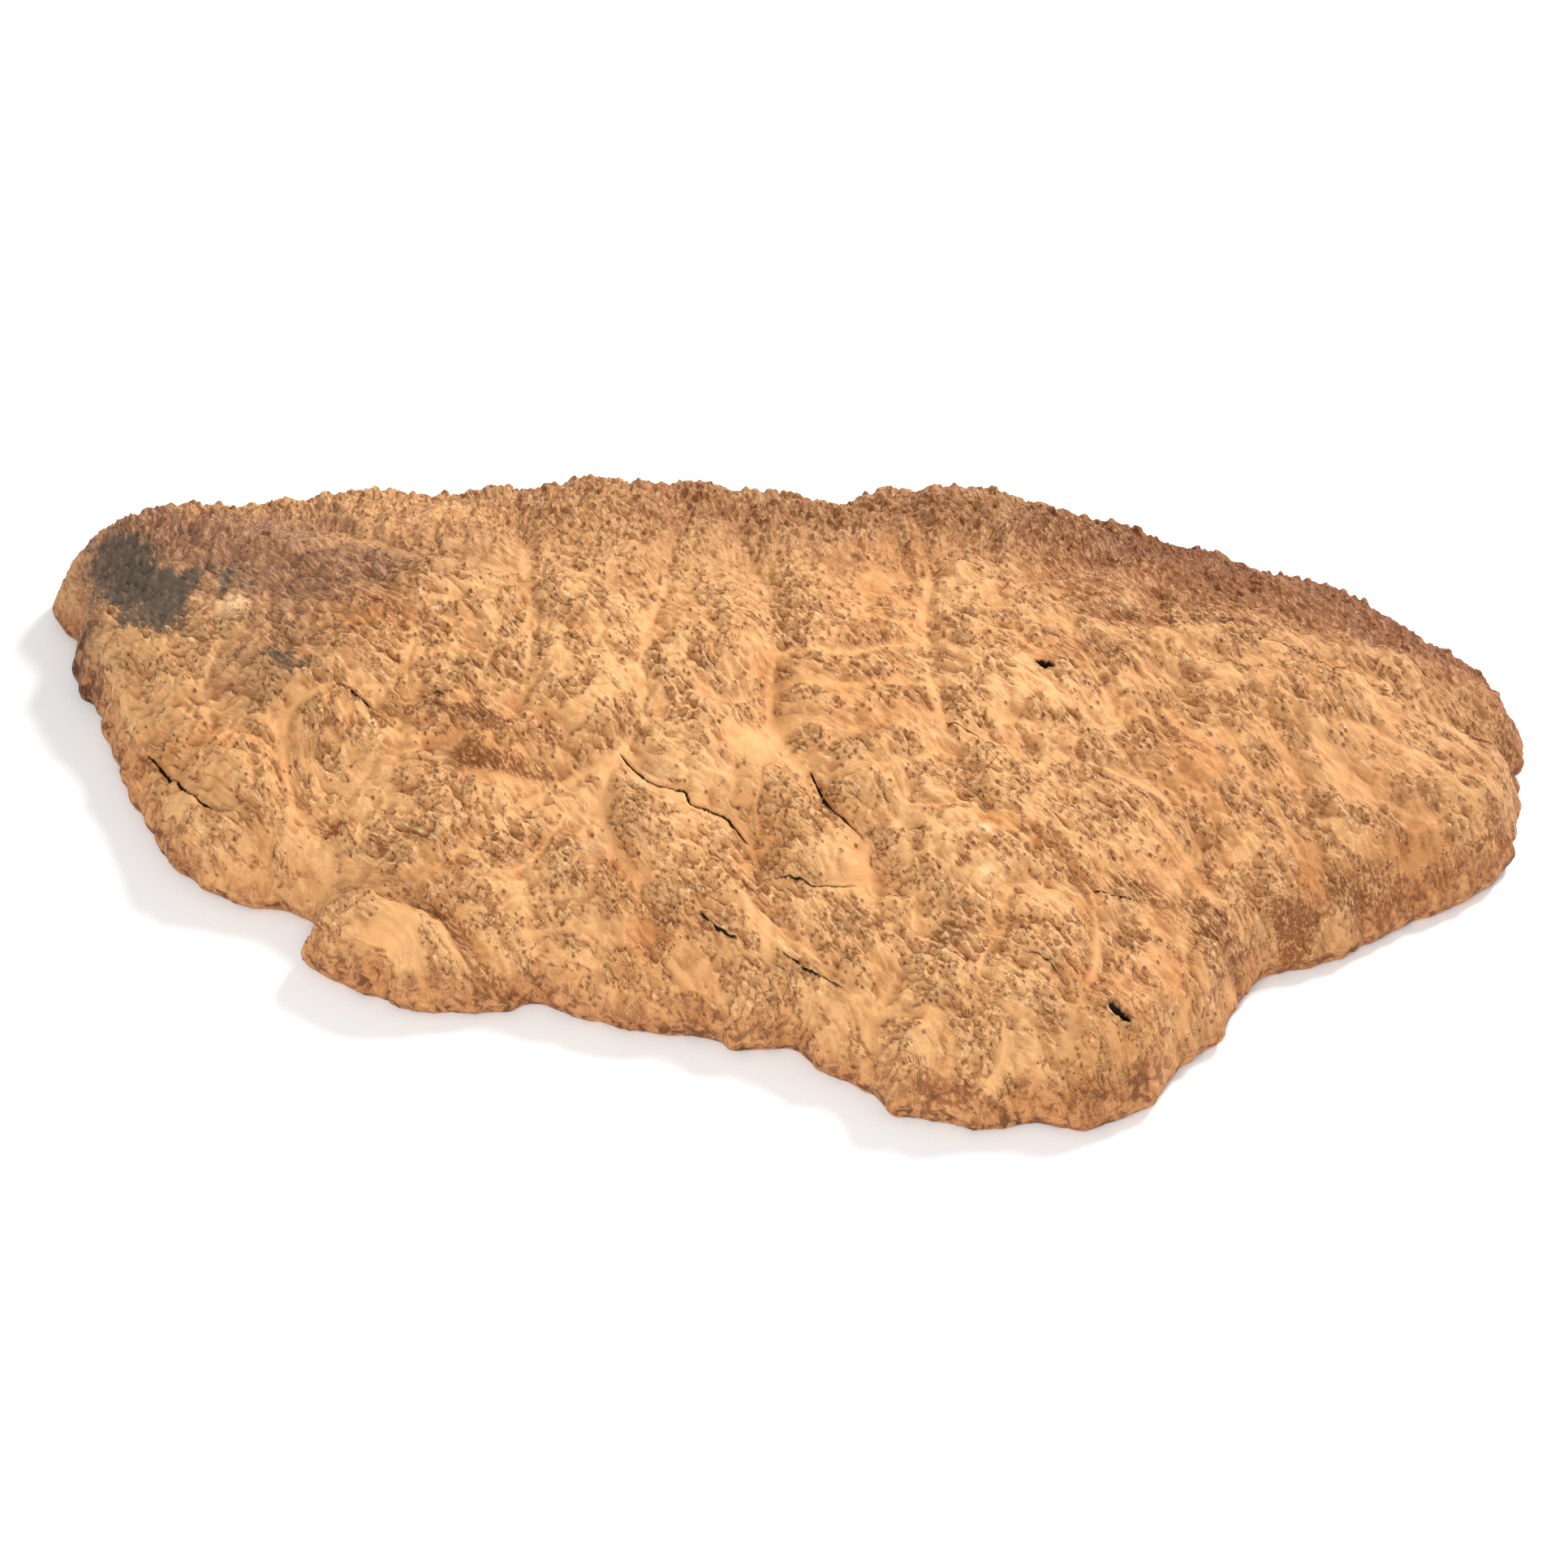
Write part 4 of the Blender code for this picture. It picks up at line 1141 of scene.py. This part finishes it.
SPLIT_X = (-1, -0.17, 0.11, 1)
SPLIT_Y = (-1, 0.06, 1)
centres = FINAL[SKIN].mean(axis=1)[:, :2]
pieces = []
for part_x, (x0, x1) in enumerate(zip(SPLIT_X, SPLIT_X[1:]), 1):
    for part_y, (y0, y1) in enumerate(zip(SPLIT_Y, SPLIT_Y[1:]), 1):
        chosen = ((centres >= (x0, y0)) & (centres < (x1, y1))).all(axis=1)
        pieces.append(section(f"skin_{part_x}{part_y}", SKIN[chosen], WOOD))
        print(pieces[-1].name, int(chosen.sum()), "triangles")
pieces.append(section("edge_underside", WALL_FACES, WOOD, False))

# %% [markdown]
# ## The sawn face
# The back is flat, as a saw leaves it, with faint marks of the blade. It lies on the floor and closes the
# body. A flat fill of the last ring of points is enough for it.

# %% The sawn face
SAWN_WOOD = bpy.data.materials.new("sawn wood")


def sawn_face():
    ring = FINAL[-ROUND:, :2].astype(float)
    inner = lattice(0.010)
    inner = inner[is_inside(inner, ring)]
    inner = inner[nearest_spot(inner, ring, 0.012) > 0.006]
    plan = np.vstack([ring, inner])
    loop = [(k, (k + 1) % ROUND) for k in range(ROUND)]
    placed, _edges, faces, *_rest = geometry.delaunay_2d_cdt([tuple(p) for p in plan], loop, [], 1, 1e-9)
    points = np.array([(*p, 0.0) for p in placed])
    faces = wound_outward(points, np.array(faces), False)
    data = mesh_from("sawn_face", points, faces)
    data.polygons.foreach_set("use_smooth", np.zeros(len(faces), bool))
    data.materials.append(SAWN_WOOD)
    return in_scene("sawn_face", data)


pieces.append(sawn_face())
total = sum(len(piece.data.polygons) for piece in pieces)
print(len(pieces), "pieces,", total, "triangles")

# %% [markdown]
# ## The finish
# Bare dry wood has no varnish, so nearly no shine. First come the helpers that both woods use: one for
# colours, a few for nodes, and a node group for the streaks and the fuzz of grain.

# %% Colours and shader helpers
WOOD_TONE = 0.89


def srgb(r, g, b):
    """A wood colour given as it looks in the light of this room, 0 to 255, as the renderer wants it."""
    return tuple(WOOD_TONE * ((v / 255 + 0.055) / 1.055) ** 2.4 for v in (r, g, b)) + (1.0,)


def mixed(tree, amount, one, two, blend="MIX"):
    node = tree.nodes.new("ShaderNodeMix")
    node.data_type = "RGBA"
    node.blend_type = blend
    feed(tree, node.inputs[0], amount)
    feed(tree, node.inputs[6], one)
    feed(tree, node.inputs[7], two)
    return node.outputs[2]


def remap(tree, value, start, end, low_value=0.0, high_value=1.0):
    node = tree.nodes.new("ShaderNodeMapRange")
    node.interpolation_type = "SMOOTHSTEP"
    for socket, number in zip(node.inputs, (value, start, end, low_value, high_value)):
        feed(tree, socket, number)
    return node.outputs[0]


def noise(tree, vector, scale, detail=3.0, rough=0.55, distortion=0.0):
    node = tree.nodes.new("ShaderNodeTexNoise")
    feed(tree, node.inputs["Vector"], vector)
    node.inputs["Scale"].default_value = scale
    node.inputs["Detail"].default_value = detail
    node.inputs["Roughness"].default_value = rough
    node.inputs["Distortion"].default_value = distortion
    return node.outputs[0]


def product(tree, one, two):
    return maths(tree, "MULTIPLY", one, two)


def matt_material(material, roughness, specular):
    """Turn a material's nodes on and give back the tree and its shader."""
    material.use_nodes = True
    tree = material.node_tree
    shader = tree.nodes["Principled BSDF"]
    shader.inputs["Roughness"].default_value = roughness
    shader.inputs["Specular IOR Level"].default_value = specular
    return tree, shader


def raised(tree, shader, height, strength, distance):
    """Let a height shade the surface as small relief."""
    bump = tree.nodes.new("ShaderNodeBump")
    bump.inputs["Strength"].default_value = strength
    bump.inputs["Distance"].default_value = distance
    join(tree, height, bump.inputs["Height"])
    join(tree, bump.outputs[0], shader.inputs["Normal"])


def attribute(tree, name, vector=False):
    node = tree.nodes.new("ShaderNodeAttribute")
    node.attribute_name = name
    return node.outputs["Vector" if vector else "Fac"]


def object_place(tree):
    return tree.nodes.new("ShaderNodeTexCoord").outputs["Object"]


# %% A group for fine grain, used by both woods
def grain_group():
    tree = bpy.data.node_groups.new("fine grain", "ShaderNodeTree")
    tree.interface.new_socket("Place", in_out="INPUT", socket_type="NodeSocketVector")
    tree.interface.new_socket("Across", in_out="INPUT", socket_type="NodeSocketFloat")
    tree.interface.new_socket("Streaks", in_out="OUTPUT", socket_type="NodeSocketFloat")
    tree.interface.new_socket("Fuzz", in_out="OUTPUT", socket_type="NodeSocketFloat")
    given = tree.nodes.new("NodeGroupInput").outputs
    done = tree.nodes.new("NodeGroupOutput").inputs
    slow = vectors(tree, "SCALE", given["Place"], 22.0)
    spot = tree.nodes.new("ShaderNodeCombineXYZ")
    join(tree, given["Across"], spot.inputs[0])
    place = vectors(tree, "ADD", slow, spot.outputs[0])
    join(tree, noise(tree, place, 1.0, 5.0, 0.65), done["Streaks"])
    join(tree, noise(tree, given["Place"], 900.0, 3.0, 0.6), done["Fuzz"])
    return tree


GRAIN = grain_group()


def grain(tree, place, across):
    node = tree.nodes.new("ShaderNodeGroup")
    node.node_tree = GRAIN
    feed(tree, node.inputs["Place"], place)
    feed(tree, node.inputs["Across"], across)
    return node.outputs["Streaks"], node.outputs["Fuzz"]


# %% [markdown]
# ## The burl wood
# The finish is built in the order in which the real surface came to be: fresh wood with painted shade in the
# low spots of its grain and painted highlights on the high spots, weather with painted shade, the crust of
# the edge, the damp stain, and last the eyes, the bark and the cracks. A painted picture would blur close by,
# while masks and noise stay sharp. Each step mixes the colour so far towards one new colour, by a mask. The
# pits are drawn from the stored way to the nearest eye.

# %% Eyes and dimples as masks
def eye_space(tree):
    """The way to the nearest eye, turned and sized for it, and a mask that fades before the next eye."""
    luck = attribute(tree, "eye_luck")
    turn = tree.nodes.new("ShaderNodeVectorRotate")
    turn.rotation_type = "Z_AXIS"
    join(tree, attribute(tree, "to_eye", True), turn.inputs["Vector"])
    join(tree, maths(tree, "MULTIPLY_ADD", luck, 0.7, 0.65), turn.inputs["Angle"])
    other_luck = maths(tree, "FRACT", product(tree, luck, 7.0))
    size = maths(tree, "MULTIPLY_ADD", other_luck, 0.9, 0.35)
    near = remap(tree, attribute(tree, "eye_away"), 0.0022, 0.0016)
    return turn.outputs[0], size, near


def eye_ring(tree, space, long_way, wide_way, soft):
    """1 inside an ellipse round the middle of an eye, 0 outside."""
    way, size, near = space
    scaled = vectors(tree, "MULTIPLY", way, (1 / long_way, 1 / wide_way, 1 / wide_way))
    away = maths(tree, "DIVIDE", vectors(tree, "LENGTH", scaled), size)
    return product(tree, remap(tree, away, 1 + soft, 1 - soft), near)


def grit_along_grain(tree, place):
    """Noise drawn out along the stored flow of the grain, which runs steeper towards the back."""
    lift = vectors(tree, "MULTIPLY", place, (0.0, 0.0, 320.0))
    grits = []
    for name, scale in (("slant", (120.0, 520.0, 0.0)), ("steep", (120.0, 400.0, 0.0))):
        spot = vectors(tree, "MULTIPLY", attribute(tree, name, True), scale)
        grits.append(noise(tree, vectors(tree, "ADD", spot, lift), 1.0, 3.0, 0.6, 0.5))
    change = maths(tree, "SUBTRACT", grits[1], grits[0])
    return maths(tree, "ADD", grits[0], product(tree, attribute(tree, "back"), change))


# %% Fresh wood, with painted shade in low spots of the grain and painted highlights on high spots
def toned(tree, colour, target, mask, share=1.0):
    """The colour so far, mixed towards a target (0 to 255) by a mask times a share."""
    return mixed(tree, mask if share == 1.0 else product(tree, mask, share), colour, srgb(*target))


def fresh_wood(tree, streaks, blotch, grit):
    field = attribute(tree, "field")
    colour = mixed(tree, attribute(tree, "orange"), srgb(232, 177, 118), srgb(208, 142, 82))
    # Painted shade: the bands are mixed a little darker, since they lack the small shadows of the pads.
    colour = toned(tree, colour, (216, 156, 98), attribute(tree, "band"), 0.35)
    colour = toned(tree, colour, (212, 146, 86), remap(tree, blotch, 0.42, 0.75, 0.0, 0.4))
    tint = remap(tree, streaks, 0.3, 0.7, 0.90, 1.06)
    shade = tree.nodes.new("ShaderNodeCombineColor")
    for socket in shade.inputs:
        join(tree, tint, socket)
    colour = mixed(tree, 1.0, colour, shade.outputs[0], "MULTIPLY")
    # Painted shade in the low places, stronger at the back.
    share = maths(tree, "MULTIPLY_ADD", attribute(tree, "back"), 0.25, 0.60)
    colour = toned(tree, colour, (160, 94, 40), product(tree, attribute(tree, "hollow_shade"), share))
    # Painted shade in the low spots of the grit that also raises the bump, and painted highlight on its high
    # spots.
    dimple_shade = product(tree, remap(tree, grit, 0.48, 0.30), field)
    colour = toned(tree, colour, (150, 80, 26), dimple_shade, 0.66)
    crest_highlight = product(tree, remap(tree, grit, 0.56, 0.70), field)
    return toned(tree, colour, (252, 220, 178), crest_highlight, 0.68)


# %% Weather and painted shade, the crust with painted shade and highlights, and damp
def weathered_and_shaded(tree, colour, blotch, grit):
    # Browner wood, stronger in the low spots of the grit as painted shade.
    worn_and_shaded = product(tree, attribute(tree, "brown_and_shade"), remap(tree, grit, 0.60, 0.40, 0.35, 1.45))
    worn_and_shaded = maths(tree, "ADD", worn_and_shaded, remap(tree, blotch, 0.3, 0.7, -0.12, 0.12))
    colour = toned(tree, colour, (136, 78, 36), remap(tree, worn_and_shaded, 0.02, 0.85, 0.0, 0.92))
    # Painted shade towards the back and the right end.
    return toned(tree, colour, (104, 54, 22), attribute(tree, "back_right_shade"))


def crusted(tree, colour, lumps):
    rim = attribute(tree, "rim")
    colour = toned(tree, colour, (184, 114, 66), rim, 0.60)
    # Painted shade in the low places between the lumps of the crust, and painted highlight on their tops.
    colour = toned(tree, colour, (108, 62, 34), product(tree, remap(tree, lumps, 0.52, 0.40), rim), 0.88)
    return toned(tree, colour, (226, 162, 106), product(tree, remap(tree, lumps, 0.54, 0.66), rim), 0.62)


def stained(tree, colour, blotch, grit):
    damp = product(tree, attribute(tree, "halo"), remap(tree, grit, 0.62, 0.38, 0.45, 0.95))
    colour = toned(tree, colour, (128, 88, 70), damp)
    grey = maths(tree, "ADD", attribute(tree, "stain"), remap(tree, blotch, 0.3, 0.7, -0.25, 0.25))
    grey = maths(tree, "ADD", grey, remap(tree, grit, 0.35, 0.65, 0.18, -0.22))
    return toned(tree, colour, (88, 80, 68), remap(tree, grey, 0.25, 0.9, 0.0, 0.88))


# %% Eyes, bark and cracks, and the whole finish
def burl_finish(material):
    tree, shader = matt_material(material, 0.62, 0.25)
    place = object_place(tree)
    streaks, fuzz = grain(tree, place, product(tree, attribute(tree, "relief"), 0.9))
    blotch = noise(tree, place, 38.0, 4.0, 0.6)
    lumps = noise(tree, place, 150.0, 4.0, 0.62, 0.8)
    grit = grit_along_grain(tree, place)
    colour = fresh_wood(tree, streaks, blotch, grit)
    colour = weathered_and_shaded(tree, colour, blotch, grit)
    colour = crusted(tree, colour, lumps)
    colour = stained(tree, colour, blotch, grit)

    space = eye_space(tree)
    # Round each eye: a paler collar as painted highlight, a darker socket round the pit as wood with painted
    # shade, and the pit itself as dark wood of the bud with painted shade in it.
    collar = eye_ring(tree, space, 0.0023, 0.0015, 0.5)
    pits = eye_ring(tree, space, 0.0017, 0.00082, 0.5)
    clean = maths(tree, "SUBTRACT", 1.0, attribute(tree, "stain"), clamp=True)
    socket = product(tree, eye_ring(tree, space, 0.0030, 0.0012, 0.8), clean)
    light = product(tree, remap(tree, streaks, 0.4, 0.6), product(tree, clean, 0.30))
    dark = maths(tree, "MULTIPLY_ADD", attribute(tree, "eye_luck"), 0.47, product(tree, clean, 0.37))
    # Painted highlight on the collar, painted shade in the socket, and the pit painted dark.
    colour = toned(tree, colour, (240, 196, 146), product(tree, collar, light))
    colour = toned(tree, colour, (156, 92, 42), socket, 0.42)
    colour = toned(tree, colour, (240, 196, 146), attribute(tree, "pale"), 0.92)
    colour = toned(tree, colour, (118, 58, 14), product(tree, pits, dark))
    bark = product(tree, attribute(tree, "bark"), remap(tree, lumps, 0.62, 0.40, 0.35, 1.0))
    colour = toned(tree, colour, (80, 46, 28), bark)
    # Painted shade: near black down in the cracks and the knot holes.
    colour = toned(tree, colour, (34, 16, 7), remap(tree, attribute(tree, "crack"), 0.04, 0.25))
    join(tree, colour, shader.inputs["Base Color"])

    height = maths(tree, "MULTIPLY_ADD", streaks, 0.9, product(tree, fuzz, 0.15))
    height = maths(tree, "MULTIPLY_ADD", product(tree, grit, attribute(tree, "field")), 5.9, height)
    for mask, lift in ((product(tree, lumps, attribute(tree, "rim")), 7.0), (collar, 0.35), (pits, -0.45)):
        height = maths(tree, "MULTIPLY_ADD", mask, lift, height)
    raised(tree, shader, height, 0.8, 0.0010)
    print("the burl wood has", len(tree.nodes), "nodes")


burl_finish(WOOD)

# %% [markdown]
# ## The sawn wood
# The saw left a pale face with rings of growth and faint bands of the blade. A wave texture gives the bands.

# %% The sawn wood
def sawn_finish(material):
    tree, shader = matt_material(material, 0.7, 0.2)
    place = object_place(tree)
    streaks, fuzz = grain(tree, place, 0.0)
    rings = noise(tree, place, 14.0, 6.0, 0.6, 1.2)
    marks = tree.nodes.new("ShaderNodeTexWave")
    join(tree, place, marks.inputs["Vector"])
    marks.inputs["Scale"].default_value = 55.0
    marks.inputs["Distortion"].default_value = 1.2
    colour = mixed(tree, remap(tree, rings, 0.35, 0.7), srgb(214, 164, 116), srgb(176, 118, 74))
    colour = mixed(tree, remap(tree, marks.outputs[1], 0.4, 0.9, 0.0, 0.22), colour, srgb(150, 104, 70))
    colour = mixed(tree, remap(tree, streaks, 0.4, 0.8, 0.0, 0.3), colour, srgb(150, 96, 58))
    join(tree, colour, shader.inputs["Base Color"])
    raised(tree, shader, maths(tree, "MULTIPLY_ADD", marks.outputs[1], 0.6, fuzz), 0.4, 0.0006)


sawn_finish(SAWN_WOOD)

# %% [markdown]
# ## Handing over
# All pieces stand for the one solid and stay with it.

# %% Hand the pieces over
for piece in pieces:
    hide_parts("burl_cap")
    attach(piece, "root")

# %% [markdown]
# ## Floor, light and camera
# The cap lies on a white floor in a bright room. A large soft lamp stands high at the back right, so the
# slopes that face left and front are a little darker and the shadow falls to the front left.

# %% Floor
# It lies a hair under the sawn face, so the two don't share a plane
FLOOR_Z = -0.0004


def floor():
    corners = [(x, y, FLOOR_Z) for x, y in ((-4, -4), (4, -4), (4, 4), (-4, 4))]
    data = mesh_from("floor", corners, [(0, 1, 2), (0, 2, 3)])
    material = bpy.data.materials.new("white floor")
    _tree, shader = matt_material(material, 0.9, 0.1)
    shader.inputs["Base Color"].default_value = (0.93, 0.93, 0.93, 1)
    data.materials.append(material)
    return in_scene("floor", data)


floor()


# %% Light
def aim(thing, place, target):
    """Put a lamp or a camera at a place and turn it to a target."""
    thing.location = place
    thing.rotation_euler = (Vector(target) - Vector(place)).to_track_quat("-Z", "Y").to_euler()


def lamp(name, place, target, size, watts, colour=(1, 1, 1)):
    data = bpy.data.lights.new(name, "AREA")
    data.shape = "DISK"
    data.size = size
    data.energy = watts
    data.color = colour
    aim(in_scene(name, data), place, target)


lamp("soft lamp, back right", (1.5, 1.5, 2.0), (0.05, 0.0, 0.0), 0.9, 112, (1.0, 0.985, 0.96))
lamp("front fill", (-0.5, -2.6, 1.7), (0.0, 0.0, 0.0), 2.4, 76)
world = bpy.data.worlds.new("bright room")
bpy.context.scene.world = world
world.use_nodes = True
world.node_tree.nodes["Background"].inputs[0].default_value = (1.0, 1.0, 1.0, 1)
world.node_tree.nodes["Background"].inputs[1].default_value = 0.54

# %% Camera
camera_data = bpy.data.cameras.new("camera")
camera_data.lens = 97.6
camera_data.sensor_width = 36
camera = in_scene("camera", camera_data)
TARGET = Vector((0.0072, -0.0294, 0.0433))
ELEVATION = math.radians(40)
DISTANCE = 2.503
aim(camera, TARGET + DISTANCE * Vector((0, -math.cos(ELEVATION), math.sin(ELEVATION))), TARGET)
bpy.context.scene.camera = camera
bpy.context.scene.view_settings.view_transform = "Standard"
print("camera at", [round(v, 3) for v in camera.location])
